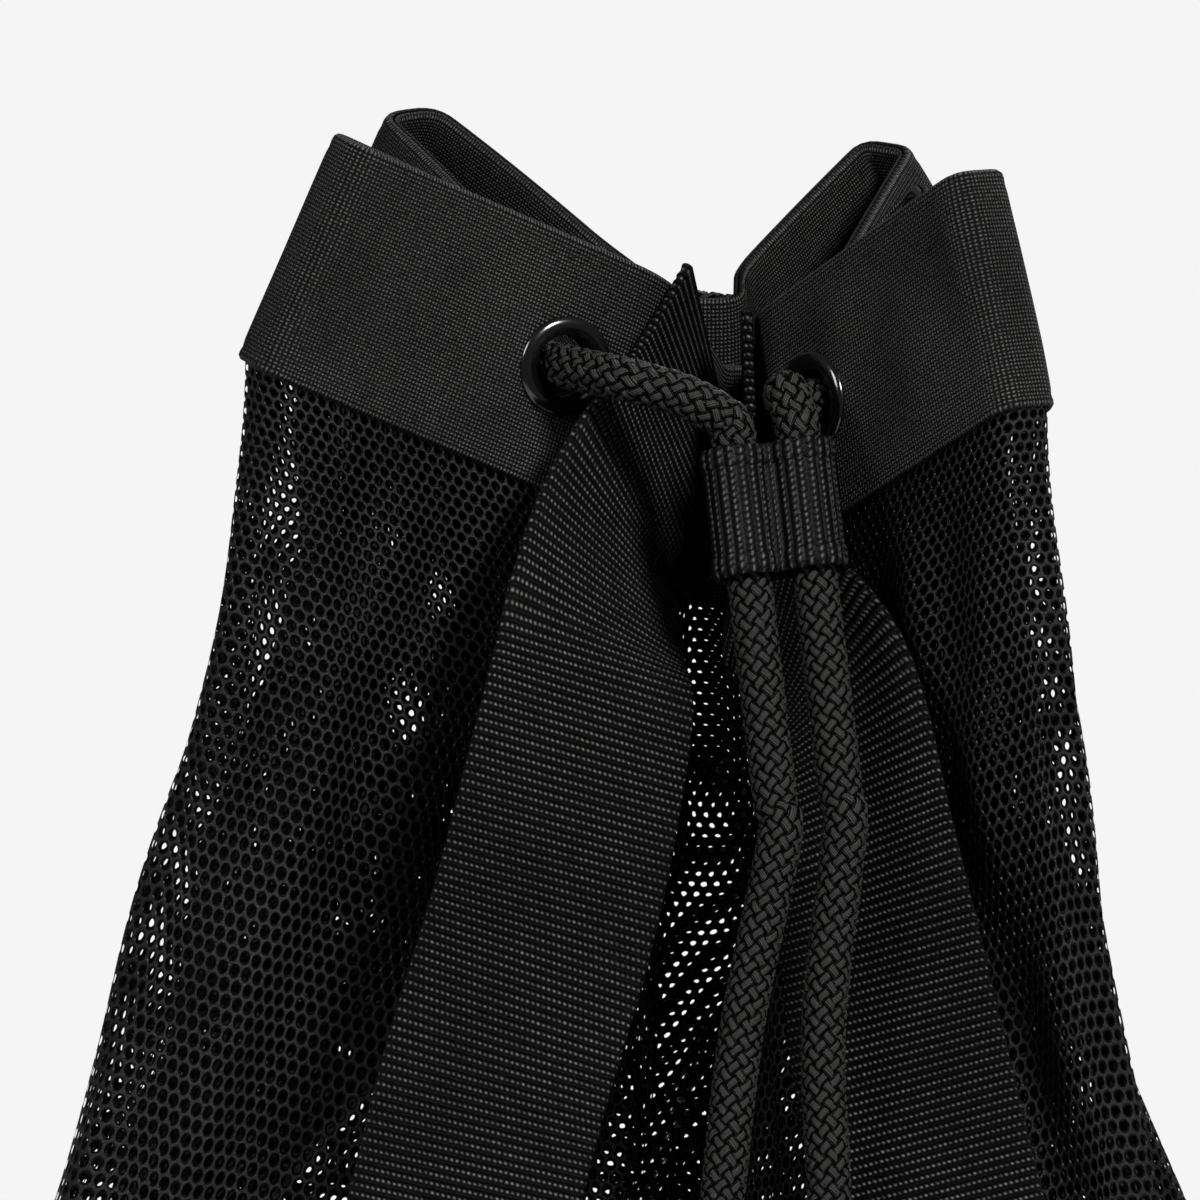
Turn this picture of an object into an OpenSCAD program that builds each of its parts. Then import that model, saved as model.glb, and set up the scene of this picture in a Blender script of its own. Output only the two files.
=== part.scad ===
// Drawstring mesh ball bag: a net sack gathered by a cord through eight eyelets in a woven
// collar, with two webbing shoulder straps. It stands on its round base and is drawn shut.
// Millimetres. +Z up, origin at the centre of the base's underside, front towards -Y.

/* [Sack] */
// Radius of the filled belly
belly_r = 162; // [130:1:200]
// Radius of the flat round base
base_r = 140; // [105:1:165]
// Height of the gathered mouth above the ground (lowest folds of the collar's lower edge)
mouth_z = 690; // [560:1:840]
// Radius of the neck where the folds leave the collar
neck_r = 95; // [80:1:110]
// Thickness of the mesh wall
mesh_t = 1.0; // [0.8:0.1:1.2]

/* [Collar and eyelets] */
// Height of the woven collar
collar_h = 48; // [40:1:60]
// Thickness of one collar layer
collar_t = 0.8; // [0.6:0.1:1.2]
// Depth of mesh caught between the two collar layers
hem_h = 8; // [5:1:12]
// Radius of an eyelet's flange
eyelet_r = 10; // [9:0.5:11]
// Radius of an eyelet's hole
eyelet_hole_r = 6.25; // [5.5:0.25:6.5]
// Distance of each eyelet from the fold beside it
eyelet_in = 18; // [16:1:22]

/* [Drawcord and keeper] */
// Diameter of the braided cord
cord_d = 8.5; // [7:0.5:10.5]
// Distance between the two tails in the keeper
tail_gap = 13; // [12.5:0.5:16]
// Length of the webbing keeper along the tails
keeper_h = 25; // [18:1:32]
// Thickness of the keeper's webbing
keeper_t = 1.1; // [0.9:0.1:2]
// Travel of the keeper down the tails
keeper_travel = 45; // [20:5:50]
// Radius of the knot at the end of each tail
knot_r = 10.5; // [8:0.5:10.5]
// Height of each knot with its short end
knot_h = 26; // [20:1:32]

/* [Straps and buckles] */
// Width of the shoulder webbing
strap_w = 45; // [37:1:48]
// Thickness of the shoulder webbing
strap_t = 1.8; // [1.2:0.1:2.2]
// Angle of each lower strap from the front, round the belly
strap_angle = 36; // [30:1:45]
// Height of the slider below the mouth
slider_drop = 380; // [317:1:456]
// Diameter of the bars of the sliders and rings
bar_d = 4; // [3:0.5:5]
// Height of the lower bar of the rectangular ring
ring_z = 62; // [56:1:72]

/* [Hidden] */
$fn = 48;
eps = 0.01;
gap = 0.3;                      // clearance between pieces that don't touch
flat_r = mesh_t / 2;            // the mesh's skin on either side of the gathered line
fillet_steps = 2;               // pieces of each rounded fold
long_run = 35;
cord_r = cord_d / 2;
slider_z = mouth_z - slider_drop;
channel_r = cord_r + gap;
top_blend = 250;                // depth below the mouth over which the folds fade away
base_curve = 85;                // height over which the base rounds up into the belly
binding_h = 5;
mouth_c = [20, 0];              // the mouth leans to one side of the base's centre

// The collar's lower edge as it lies when drawn shut: corners of the folded line, each
// [x, y, height over the mouth, how far the collar's top leans in x and y, rounding].
folds = [
    [32, 6, 4, 1, 2, 5], [18, 6, 4, 6, 2, 5],               // front valley
    [0, -48, 33, 13, 9, 8],                                 // corner by eyelet 1
    [-66, -77, 67, 19, 13, 4], [-71, -66, 68, 19, 13, 4],     // front left lobe
    [-24, -25, 38, 15, 8, 8],
    [-8, -18, 22, 4, 0, 5], [-8, -6, 16, 4, 0, 5],          // left valley
    [-22, 6, 25, 12, -8, 8],
    [-61, 60, 58, 18, -21, 5], [-51, 68, 58, 18, -21, 5],   // back left lobe
    [-6, 46, 26, 8, -14, 8],
    [14, 32, 13, 0, 0, 5], [28, 32, 13, 0, 0, 5],           // back valley
    [40, 46, 22, -12, -12, 8],
    [73, 82, 47, -20, -17, 4], [82, 74, 47, -20, -17, 4],   // back right lobe
    [60, 26, 22, -14, -8, 8],
    [47, 14, 16, -6, 0, 4], [77, 8, 43, -14, 0, 4],         // small right lobe
    [79, -2, 43, -14, 0, 4], [47, -12, 16, -6, 2, 4],
    [54, -36, 28, -12, 14, 8],
    [89, -86, 62, -10, 18, 4], [80, -95, 63, -10, 18, 4],  // front right lobe
    [36, -45, 24, -4, 13, 8]                               // corner by eyelet 8
];
fold_n = len(folds);
// Each eyelet sits on the straight run from a corner towards the lobe beside it.
eyelet_runs = [[2, 3], [5, 4], [8, 9], [11, 10], [14, 15], [17, 16], [22, 23], [25, 24]];

// ---------- vectors ----------
function unit(v) = v / norm(v);
function smooth(t) = let (s = max(0, min(1, t))) s * s * (3 - 2 * s);
function part(v, a, b) = [for (i = [a:b]) v[i]];
function running_sum(v) = [for (i = 0, s = 0; i < len(v); s = s + v[i], i = i + 1) s];

// ---------- the gathered line ----------
// One rounded corner: fillet_steps + 1 points of [x, y, z, lean x, lean y].
function corner(i) =
    let (v = part(folds[i], 0, 4),
         before = part(folds[(i + fold_n - 1) % fold_n], 0, 4),
         after = part(folds[(i + 1) % fold_n], 0, 4),
         a = v + (before - v) * min(0.45, folds[i][5] / norm(part(before - v, 0, 2))),
         b = v + (after - v) * min(0.45, folds[i][5] / norm(part(after - v, 0, 2))))
    [for (k = [0:fillet_steps]) let (t = k / fillet_steps)
        (1 - t) * (1 - t) * a + 2 * t * (1 - t) * v + t * t * b];
// Long straight runs between corners get a point halfway.
function run_on(i) =
    let (c = corner(i), d = corner((i + 1) % fold_n)[0], a = c[fillet_steps])
    norm(part(d - a, 0, 2)) > long_run ? concat(c, [(a + d) / 2]) : c;
runs = [for (i = [0:fold_n - 1]) run_on(i)];
run_starts = running_sum([for (r = runs) len(r)]);
line = [for (r = runs) each r];
line_n = len(line);
seam_left = run_starts[6] + 1;
seam_right = run_starts[21] + 1;
line_steps = [for (i = [0:line_n - 1])
    norm(part(line[(i + 1) % line_n] - line[i], 0, 2))];
line_sums = running_sum(line_steps);
line_len = line_sums[line_n - 1] + line_steps[line_n - 1];
front_len = (line_sums[1] + line_sums[run_starts[1] + 1]) / 2;
function turn(i) = 360 * (line_sums[i] - front_len) / line_len;

// The collar's rise and its outward side at a point [x, y, z, lean x, lean y].
function rise(p) = [p[3], p[4], sqrt(pow(collar_h, 2) - pow(p[3], 2) - pow(p[4], 2))] / collar_h;
function foot(p) = [p[0], p[1], p[2] + mouth_z];
function line_at(i) = line[(i + line_n) % line_n];
function outward(i) =
    unit(cross(rise(line_at(i)), foot(line_at(i + 1)) - foot(line_at(i - 1))));
function on_collar(i, h, out) = foot(line_at(i)) + rise(line_at(i)) * h + outward(i) * out;

// ---------- the sack ----------
function sack_r(z) =
    z < base_curve ? base_r + (belly_r - base_r)
        * sqrt(1 - pow(1 - (z - binding_h - gap) / (base_curve - binding_h - gap), 2))
    : neck_r + (belly_r - neck_r) * (0.5 + 0.5 * cos(180 * smooth_span(z)));
// How far the wall has widened at a height over the mouth.
function wall_growth(h) = h < 0 ? sack_r(mouth_z + h) - neck_r : 0;
function smooth_span(z) = max(0, min(1, (z - mouth_z + top_blend + 10) / (top_blend + 10)));
function fold_share(z) = smooth((z - mouth_z + top_blend) / (top_blend - 20));
function sack_mid(z) = mouth_c * smooth((z - mouth_z + 240) / 200);
function sack_point(i, z) =
    let (p = line_at(i), w = fold_share(z), q = [p[0], p[1]] - mouth_c,
         round_q = [-sin(turn((i + line_n) % line_n)), -cos(turn((i + line_n) % line_n))],
         xy = sack_mid(z) + sack_r(z) * (w * q / neck_r + (1 - w) * round_q))
    [xy[0], xy[1], z + w * p[2]];
function sack_skin(i, z, out) =
    let (across = sack_point(i + 1, z) - sack_point(i - 1, z),
         side = unit(cross([0, 0, 1], across)))
    sack_point(i, z) + side * out;
sack_levels = concat(
    [for (d = [1, 25, 50, 75, 100, 125, 150, 175, 200, 225, 250]) mouth_z - d],
    [for (f = [0.66, 0.33]) base_curve + f * (mouth_z - top_blend - base_curve)],
    [base_curve, 60, 38, 20, binding_h + 6, binding_h + gap]);
// One upright slice of the wall, outside downwards and inside upwards.
function wall_slice(i, lo, hi, top) = concat(
    top ? [on_collar(i, hem_h, hi)] : [],
    [for (z = sack_levels) sack_skin(i, z, hi)],
    [for (k = [len(sack_levels) - 1:-1:0]) sack_skin(i, sack_levels[k], lo)],
    top ? [on_collar(i, hem_h, lo)] : []);

// ---------- a solid through a row of matching outlines ----------
// The second half of each outline faces the first, so its sides are cut along the same
// diagonals as those they face, and a thin wall keeps its thickness where it twists.
module sweep(outlines, closed = false) {
    n = len(outlines);
    m = len(outlines[0]);
    points = [for (o = outlines) each o];
    sides = [for (i = [0:closed ? n - 1 : n - 2], j = [0:m - 1])
        let (a = i * m + j, b = i * m + (j + 1) % m,
             c = ((i + 1) % n) * m + (j + 1) % m, d = ((i + 1) % n) * m + j)
        each j < m / 2 ? [[a, b, c], [a, c, d]] : [[a, b, d], [b, c, d]]];
    ends = closed ? [] : [for (j = [0:m / 2 - 2])
        let (a = j, b = j + 1, c = m - 2 - j, d = m - 1 - j, e = (n - 1) * m)
        each [[a, c, b], [a, d, c], [e + a, e + b, e + c], [e + a, e + c, e + d]]];
    polyhedron(points, concat(sides, ends));
}

// ---------- round tubes ----------
// A smooth route through the given points, with the end points kept.
function bend(p, k, t) =
    let (n = len(p) - 1, a = p[max(k - 1, 0)], b = p[k], c = p[min(k + 1, n)],
         d = p[min(k + 2, n)])
    0.5 * ((2 * b) + (c - a) * t + (2 * a - 5 * b + 4 * c - d) * t * t
        + (3 * b - a - 3 * c + d) * t * t * t);
function route(p, steps) = concat(
    [for (k = [0:len(p) - 2], s = [0:steps - 1]) bend(p, k, s / steps)], [p[len(p) - 1]]);
function heading(p, i) = unit(p[min(i + 1, len(p) - 1)] - p[max(i - 1, 0)]);
// Sideways directions that don't twist from ring to ring.
function carried(p) = [for (i = 0, u = unit(cross(heading(p, 0), [0.3, 0.2, 0.9]));
    i < len(p); i = i + 1, u = i < len(p)
        ? let (h = heading(p, i)) unit(u - h * (u * h)) : u) u];
module tube(p, r, sides = 8) {
    across = carried(p);
    sweep([for (i = [0:len(p) - 1]) let (h = heading(p, i), u = across[i], v = cross(h, u))
        [for (j = [0:sides - 1]) let (a = 360 * j / sides)
            p[i] + r * (cos(a) * u - sin(a) * v)]]);
}

// ---------- mesh sack ----------
module mesh_front() {
    color("#1b1b1d")
        sweep([for (i = [seam_right:line_n + seam_left])
            wall_slice(i % line_n, -flat_r, flat_r, true)]);
}
module mesh_back() {
    color("#161618")
        sweep([for (i = [seam_left:seam_right]) wall_slice(i, -flat_r, flat_r, true)]);
}
module side_tape(seam) {
    lo = flat_r + 2 * gap;
    color("#0e0e10")
        sweep([for (i = [seam - 1:seam + 1]) wall_slice(i, lo, lo + collar_t, false)]);
}
module base_panel() {
    color("#121214") cylinder(h = 1.6, r = base_r - 3 - gap, $fn = 96);
}
module base_binding() {
    color("#0c0c0e")
        rotate_extrude($fn = 96) translate([base_r - 3, 0]) union() {
            translate([1, 0]) square([5, binding_h]);
            translate([0, 1]) square([7, binding_h - 2]);
            for (x = [1, 6], y = [1, binding_h - 1]) translate([x, y]) circle(r = 1, $fn = 24);
        }
}

// ---------- collar ----------
module collar_layer(lo, hi) {
    difference() {
        sweep([for (i = [0:line_n - 1]) [on_collar(i, 0, hi), on_collar(i, 0, lo),
            on_collar(i, collar_h, lo), on_collar(i, collar_h, hi)]], closed = true);
        for (k = [1:8]) at_eyelet(k)
            cylinder(h = 12, r = eyelet_hole_r + 0.6 + gap, center = true);
    }
}
module collar_outer() {
    color("#1d1d1f") collar_layer(flat_r + gap, flat_r + gap + collar_t);
}
module collar_lining() {
    color("#151517") collar_layer(-flat_r - gap - collar_t, -flat_r - gap);
}

// ---------- eyelets ----------
skin_out = flat_r + gap + collar_t;
function eyelet_foot(k) =
    let (a = part(folds[eyelet_runs[k - 1][0]], 0, 4), b = part(folds[eyelet_runs[k - 1][1]], 0, 4))
    a + (b - a) * eyelet_in / norm(part(b - a, 0, 2));
function eyelet_c(k) = foot(eyelet_foot(k)) + rise(eyelet_foot(k)) * collar_h / 2;
function eyelet_axis(k) =
    let (a = folds[eyelet_runs[k - 1][0]], b = folds[eyelet_runs[k - 1][1]],
         run = (k % 2 == 1 ? 1 : -1) * (foot(b) - foot(a)))
    unit(cross(rise(eyelet_foot(k)), run));
module at_eyelet(k) {
    a = eyelet_axis(k);
    translate(eyelet_c(k)) rotate([0, acos(a[2]), atan2(a[1], a[0])]) children();
}
module eyelet(k) {
    color("#050506") at_eyelet(k) rotate_extrude() {
        translate([eyelet_hole_r, -skin_out - 1.4]) square([0.6, 2 * skin_out + 2.6]);
        translate([eyelet_hole_r, skin_out + gap]) square([eyelet_r - eyelet_hole_r - 0.5, 1.2]);
        translate([eyelet_r - 0.6, skin_out + gap + 0.6]) circle(r = 0.6, $fn = 24);
    }
}
module washer(k) {
    color("#060607") at_eyelet(k) rotate_extrude()
        translate([eyelet_hole_r + 0.6, -skin_out - gap - 0.8])
            square([eyelet_r - eyelet_hole_r - 0.6, 0.8]);
}

// ---------- drawcord ----------
keeper_tilt = 22;               // the tails and keeper slope outwards over the belly
keeper_lean = 7;                // and a little to the right
keeper_top = [33, -70, mouth_z + 50];
keeper_across = [cos(keeper_lean), 0, sin(keeper_lean)];
keeper_down = [cos(keeper_tilt) * sin(keeper_lean), -sin(keeper_tilt),
               -cos(keeper_tilt) * cos(keeper_lean)];
tail_x = [-tail_gap / 2, tail_gap / 2];
reach = keeper_h + keeper_travel;           // the tails are straight down to here
function tail_at(side, s) = keeper_top + keeper_across * tail_x[side] + keeper_down * s;
function through(k, inwards) =
    let (c = eyelet_c(k), a = eyelet_axis(k) * (inwards ? 1 : -1))
    [c + 8 * a, c, c - 8 * a];
loop_points = concat(
    [tail_at(0, 0), tail_at(0, -3), tail_at(0, -6), [17, -68, mouth_z + 60],
     [6, -66, mouth_z + 63]],
    [for (k = [1:8]) each concat(through(k, k % 2 == 1), k == 6 ? [[83, 3, mouth_z + 58]] : [])],
    [[37, -63, mouth_z + 60], tail_at(1, -4), tail_at(1, -2), tail_at(1, 0)]);
// Below that each tail hangs over the belly: [x, y, height over the mouth], where y leaves
// out how far the wall has widened there.
left_hang = [[28, -103, -58], [24, -105, -90], [19, -104, -130], [14, -100, -180],
    [11, -101, -230], [10, -105, -280], [9, -107, -330], [9, -107, -380], [9, -107, -430]];
right_hang = [[44, -103, -58], [45, -105, -90], [45, -104, -130], [44, -98, -180],
    [43, -97, -230], [42, -101, -280], [41, -103, -330], [41, -103, -380], [41, -103, -412]];
function tail_points(side, hang) = concat(
    [for (s = [0, reach / 2, reach, reach + 8]) tail_at(side, s)],
    [for (p = hang) [p[0], p[1] - wall_growth(p[2]), p[2] + mouth_z]]);
tail_left_points = tail_points(0, left_hang);
tail_right_points = tail_points(1, right_hang);
module drawcord_loop() {
    color("#131315") tube(route(loop_points, 2), cord_r);
}
module cord_tail(points) {
    color("#131315") tube(route(points, 2), cord_r, 10);
}
module cord_knot(at) {
    color("#131315") translate(at) rotate_extrude() intersection() {
        translate([0, -knot_h]) square([2 * knot_r, knot_h]);
        union() {
            translate([knot_r / 3, -knot_h / 2]) circle(r = knot_r * 2 / 3);
            translate([0, -knot_h]) square([cord_r, knot_h]);
        }
    }
}
module cord_keeper() {
    color("#1c1c1e") translate(keeper_top) rotate([180 - keeper_tilt, -keeper_lean, 0])
        linear_extrude(keeper_h) difference() {
            union() {
                for (x = tail_x) translate([x, 0]) circle(r = channel_r + keeper_t);
                square([tail_gap, 2 * (channel_r - 1)], center = true);
            }
            for (x = tail_x) translate([x, 0]) circle(r = channel_r);
        }
}

// ---------- shoulder straps ----------
// How far outside the belly each layer of the lower webbing runs.
main_y = 14;
return_y = 5.5;
loop_in = bar_d / 2 + gap;
slider_bar_y = return_y + strap_t / 2 + loop_in;
turn_y = (main_y + return_y) / 2;
turn_z = ring_z + 14;           // centre of the strap's turn under the ring's upper bar
lower_z = turn_z + 26;          // below this the strap is straight and square
// The strap's top is sewn flat on one side of the collar's front valley, strap_in from the
// corner; below that the list gives [x, y, height over the mouth, direction of the width].
left_top = [[12, -38, 47, 0.38, 0.78, -0.48], [4, -57, 34, 0.52, 0.74, -0.42],
    [0, -76, 18, 0.74, 0.6, -0.3], [-2, -88, 2, 0.9, 0.35, -0.26],
    [-9, -104, -35, 0.94, 0.1, -0.24], [-15, -113, -70, 0.95, 0, -0.25],
    [-18, -113, -130, 0.94, -0.1, -0.28], [-29, -109, -190, 0.93, -0.25, -0.25],
    [-45, -101, -240, 0.87, -0.45, -0.15]];
right_top = [[29, -33, 26, 0.12, -0.88, 0.42], [32, -47, 17, 0.38, -0.84, 0.36],
    [46, -68, 0, 0.65, -0.66, 0.36], [51, -85, -30, 0.8, -0.55, 0.3],
    [53, -97, -70, 0.9, -0.25, 0.25], [54, -107, -130, 0.92, 0.1, 0.2],
    [55, -104, -190, 0.9, 0.3, 0.14], [60, -98, -240, 0.85, 0.45, 0.08]];
function valley_side(side, s, h) =
    let (a = part(folds[side < 0 ? 2 : 25], 0, 4), b = part(folds[side < 0 ? 1 : 0], 0, 4),
         p = a + (b - a) * s / norm(part(b - a, 0, 2)),
         out = unit(cross(rise(p), -side * (foot(a) - foot(b)))))
    foot(p) + rise(p) * h + out * (skin_out + 2 * gap + strap_t / 2);
strap_in = strap_w / 2 + 1;
sewn_rows = [[strap_in, collar_h - 2]];
lower_rows = [slider_z + 95, slider_z + 45, slider_z, lower_z];
function sewn_width(side, s, h) =
    side * unit(valley_side(side, s - 10, h) - valley_side(side, s + 10, h));
function belly_at(side, out, z) =
    strap_out(side) * (belly_r + out) + [0, 0, z];
function strap_out(side) = [side * sin(strap_angle), -cos(strap_angle), 0];
function strap_rows(side, top) = concat([for (r = sewn_rows) valley_side(side, r[0], r[1])],
    [for (p = top) [p[0], p[1], p[2] + mouth_z] + strap_out(side) * wall_growth(p[2])],
    [for (z = lower_rows) belly_at(side, main_y, z)]);
function strap_widths(side, top) = concat([for (r = sewn_rows) sewn_width(side, r[0], r[1])],
    [for (p = top) [p[3], p[4], p[5]]],
    [for (z = lower_rows) [cos(strap_angle), side * sin(strap_angle), 0]]);
module strap_run(side, top) {
    rows = route(strap_rows(side, top), 2);
    wide = route(strap_widths(side, top), 2);
    sweep([for (i = [0:len(rows) - 1])
        let (h = heading(rows, i), w = unit(wide[i] - h * (wide[i] * h)), n = cross(w, h),
             a = w * strap_w / 2, b = n * strap_t / 2)
        [rows[i] - a - b, rows[i] + a - b, rows[i] + a + b, rows[i] - a + b]]);
}
// Turns a side view (distance outside the belly, height) into a piece of the given width.
module on_belly(side) {
    rotate([0, 0, side * strap_angle]) translate([0, -belly_r, 0]) children();
}
module side_view(side, width, at = 0) {
    on_belly(side) translate([at - width / 2, 0, 0]) rotate([90, 0, 90])
        linear_extrude(width) mirror([1, 0]) children();
}
module bar_across(side, y, z, r, width) {
    on_belly(side) translate([-width / 2, -y, z]) rotate([0, 90, 0]) cylinder(h = width, r = r);
}
module half_ring(y, z, r_in, below) {
    translate([y, z]) difference() {
        circle(r = r_in + strap_t);
        circle(r = r_in);
        translate([-20, below ? 0 : -40]) square([40, 40]);
    }
}
module shoulder_strap(side, top) {
    color("#19191b") {
        strap_run(side, top);
        side_view(side, strap_w) {
            translate([main_y - strap_t / 2, turn_z - eps]) square([strap_t, lower_z - turn_z + 2 * eps]);
            half_ring(turn_y, turn_z, (main_y - return_y - strap_t) / 2, true);
        }
    }
}
module strap_return(side) {
    color("#19191b") side_view(side, strap_w) {
        translate([return_y - strap_t / 2, turn_z + eps])
            square([strap_t, slider_z - turn_z]);
        half_ring(slider_bar_y, slider_z, loop_in, false);
        translate([slider_bar_y + loop_in, slider_z - 4]) square([strap_t, 4 + eps]);
        translate([return_y, slider_z - 4 - strap_t])
            square([slider_bar_y + loop_in + strap_t - return_y, strap_t + eps]);
        translate([return_y + strap_t / 2 - eps, slider_z - 24]) square([strap_t, 20]);
    }
}
rail_t = 3;
slider_half = 13;
front_bar_y = main_y + strap_t / 2 + gap + bar_d / 2;
module strap_slider(side) {
    rail_x = strap_w / 2 + 0.6 + rail_t / 2;
    color("#070708") {
        for (x = [-rail_x, rail_x]) side_view(side, rail_t, x) translate([0, slider_z]) hull() {
            translate([slider_bar_y, 0]) circle(r = bar_d / 2 + 0.5);
            for (z = [-1, 1]) translate([front_bar_y, z * (slider_half - bar_d)])
                circle(r = bar_d / 2 + 0.5);
        }
        bar_across(side, slider_bar_y, slider_z, bar_d / 2, 2 * rail_x);
        for (z = [-1, 1])
            bar_across(side, front_bar_y, slider_z + z * (slider_half - bar_d), bar_d / 2, 2 * rail_x);
    }
}
module strap_ring(side) {
    half = strap_w / 2 + 1 + bar_d / 2;
    top_z = turn_z - 1;
    color("#070708") {
        for (z = [ring_z, top_z]) bar_across(side, turn_y, z, bar_d / 2, 2 * half);
        on_belly(side) for (x = [-half, half]) {
            translate([x, -turn_y, ring_z]) cylinder(h = top_z - ring_z, r = bar_d / 2);
            for (z = [ring_z, top_z]) translate([x, -turn_y, z]) sphere(r = bar_d / 2);
        }
    }
}
// The tab runs from the base's binding, up the sack's curve, to a loop round the ring.
function beside_sack(z, clear) = [sack_r(z) - belly_r + clear, z];
tab_line = [[base_r + 4 + gap + strap_t - belly_r, 2.6], beside_sack(9, 4.5), beside_sack(24, 4.5),
    beside_sack(42, 7), [turn_y, ring_z - loop_in - strap_t / 2]];
function side_of(p, i) = let (d = unit(p[min(i + 1, len(p) - 1)] - p[max(i - 1, 0)])) [-d[1], d[0]];
module strap_anchor(side) {
    n = len(tab_line) - 1;
    color("#19191b") side_view(side, strap_w) {
        polygon(concat([for (i = [0:n]) tab_line[i] + side_of(tab_line, i) * strap_t],
            [for (i = [n:-1:0]) tab_line[i] - side_of(tab_line, i) * strap_t]));
        translate([turn_y, ring_z]) difference() {
            circle(r = loop_in + strap_t);
            circle(r = loop_in);
        }
    }
}

// ---------- the parts ----------
mesh_front();
mesh_back();
side_tape(seam_left);  // side_tape_left
side_tape(seam_right);  // side_tape_right
collar_outer();
collar_lining();
base_panel();
base_binding();
for (k = [1:8]) eyelet(k);
for (k = [1:8]) washer(k);
drawcord_loop();
cord_tail(tail_left_points);  // cord_tail_left
cord_tail(tail_right_points);  // cord_tail_right
cord_knot(tail_left_points[len(tail_left_points) - 1]);  // cord_knot_left
cord_knot(tail_right_points[len(tail_right_points) - 1]);  // cord_knot_right
cord_keeper();
shoulder_strap(-1, left_top);  // shoulder_strap_left
shoulder_strap(1, right_top);  // shoulder_strap_right
strap_return(-1);  // strap_return_left
strap_return(1);  // strap_return_right
strap_slider(-1);  // strap_slider_left
strap_slider(1);  // strap_slider_right
strap_ring(-1);  // strap_ring_left
strap_ring(1);  // strap_ring_right
strap_anchor(-1);  // strap_anchor_left
strap_anchor(1);  // strap_anchor_right
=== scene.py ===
# %% [markdown]
# # A mesh ball bag, drawn shut
# The bag is a tall net sack. A woven collar is sewn round its mouth, and a braided cord runs
# through eight eyelets in the collar and gathers it into a rosette of folds. A webbing keeper
# slides on the cord's two tails, and two ribbed shoulder straps run down the front to rings at
# the round base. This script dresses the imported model, which already holds every size, place
# and joint, with cloth, net, cord and webbing.

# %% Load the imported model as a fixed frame
import math
import bmesh
import bpy
import numpy as np
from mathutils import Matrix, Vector
from mathutils.bvhtree import BVHTree


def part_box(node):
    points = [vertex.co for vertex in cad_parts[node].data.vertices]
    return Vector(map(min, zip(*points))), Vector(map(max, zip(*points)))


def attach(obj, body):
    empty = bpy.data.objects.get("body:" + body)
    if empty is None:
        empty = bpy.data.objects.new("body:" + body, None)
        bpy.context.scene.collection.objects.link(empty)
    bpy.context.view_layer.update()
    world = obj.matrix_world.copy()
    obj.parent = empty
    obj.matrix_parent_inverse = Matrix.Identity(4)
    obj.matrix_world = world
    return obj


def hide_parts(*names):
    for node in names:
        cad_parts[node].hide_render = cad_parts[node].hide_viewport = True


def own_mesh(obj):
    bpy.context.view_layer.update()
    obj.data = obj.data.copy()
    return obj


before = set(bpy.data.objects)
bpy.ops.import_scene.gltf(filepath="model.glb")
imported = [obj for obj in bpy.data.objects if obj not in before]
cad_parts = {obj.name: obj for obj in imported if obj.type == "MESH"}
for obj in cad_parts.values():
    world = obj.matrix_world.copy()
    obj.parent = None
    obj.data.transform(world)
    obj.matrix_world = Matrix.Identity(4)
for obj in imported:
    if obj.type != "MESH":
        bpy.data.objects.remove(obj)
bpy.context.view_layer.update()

# %% [markdown]
# ## Sizes
# Everything below is worked out in millimetres, because cloth and cord are bought that way, and
# becomes metres only when a mesh is made. The heights and radii come from the frame's own
# boxes wherever a box can give them, so the looks follow the model if it changes.

# %% Sizes in millimetres
MM = 0.001


def box_mm(node):
    """A node's lowest and highest corner, in millimetres."""
    low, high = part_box(node)
    return np.array(low) / MM, np.array(high) / MM


cord_r = 4.25
tail_gap = 13.0
keeper_h = 25.0
keeper_t = 1.1
keeper_tilt = math.radians(22)
keeper_lean = math.radians(7)
keeper_travel = 45.0
collar_h = 48.0
collar_t = 0.8
hem_h = 8.0
flat_r = 0.5
gap = 0.3
eyelet_r = 10.0
eyelet_hole_r = 6.25
eyelet_in = 18.0
binding_h = 5.0
base_curve = 85.0
top_blend = 250.0
neck_r = 95.0
strap_w = 45.0
strap_t = 1.8
strap_angle = math.radians(36)
ring_z = 62.0
main_y = 14.0
return_y = 5.5
binding_out = 4.0
base_r = box_mm("base_binding")[1][0] - binding_out
belly_r = 162.0
slider_z = float(sum(c[2] for c in box_mm("strap_slider_left")) / 2)
mouth_z = 690.0
mouth_c = np.array([20.0, 0.0])
skin_out = flat_r + gap + collar_t
print("base radius", round(base_r, 1), "slider at", round(slider_z, 1), "mouth at", mouth_z)

# %% [markdown]
# ## Camera
# The bag is looked at from a little above, with a long lens, so that its upright lines stay
# upright. The camera comes first.

# %% Camera
camera = bpy.data.objects.new("camera", bpy.data.cameras.new("camera"))
bpy.context.scene.collection.objects.link(camera)
bpy.context.scene.camera = camera
camera_up = math.radians(11)
camera_away = 6.0
look_at = Vector((0.0, 0.0, 0.696))
camera.data.lens = 900
camera.data.sensor_width = 36
camera.location = look_at + camera_away * Vector((0, -math.cos(camera_up), math.sin(camera_up)))
camera.rotation_euler = (math.pi / 2 - camera_up, 0, 0)
print("the view is", round(camera_away * 36 / camera.data.lens * 1000), "mm wide at the bag")

# %% [markdown]
# ## Helpers for meshes
# Nearly every piece here is a grid of points: rows along it and columns across or round it.
# One function turns such a grid into a mesh with a UV map in metres, so that weaves and nets
# keep their real size whatever the piece's shape.

# %% A mesh piece from a grid of points
pieces = {}


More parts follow.
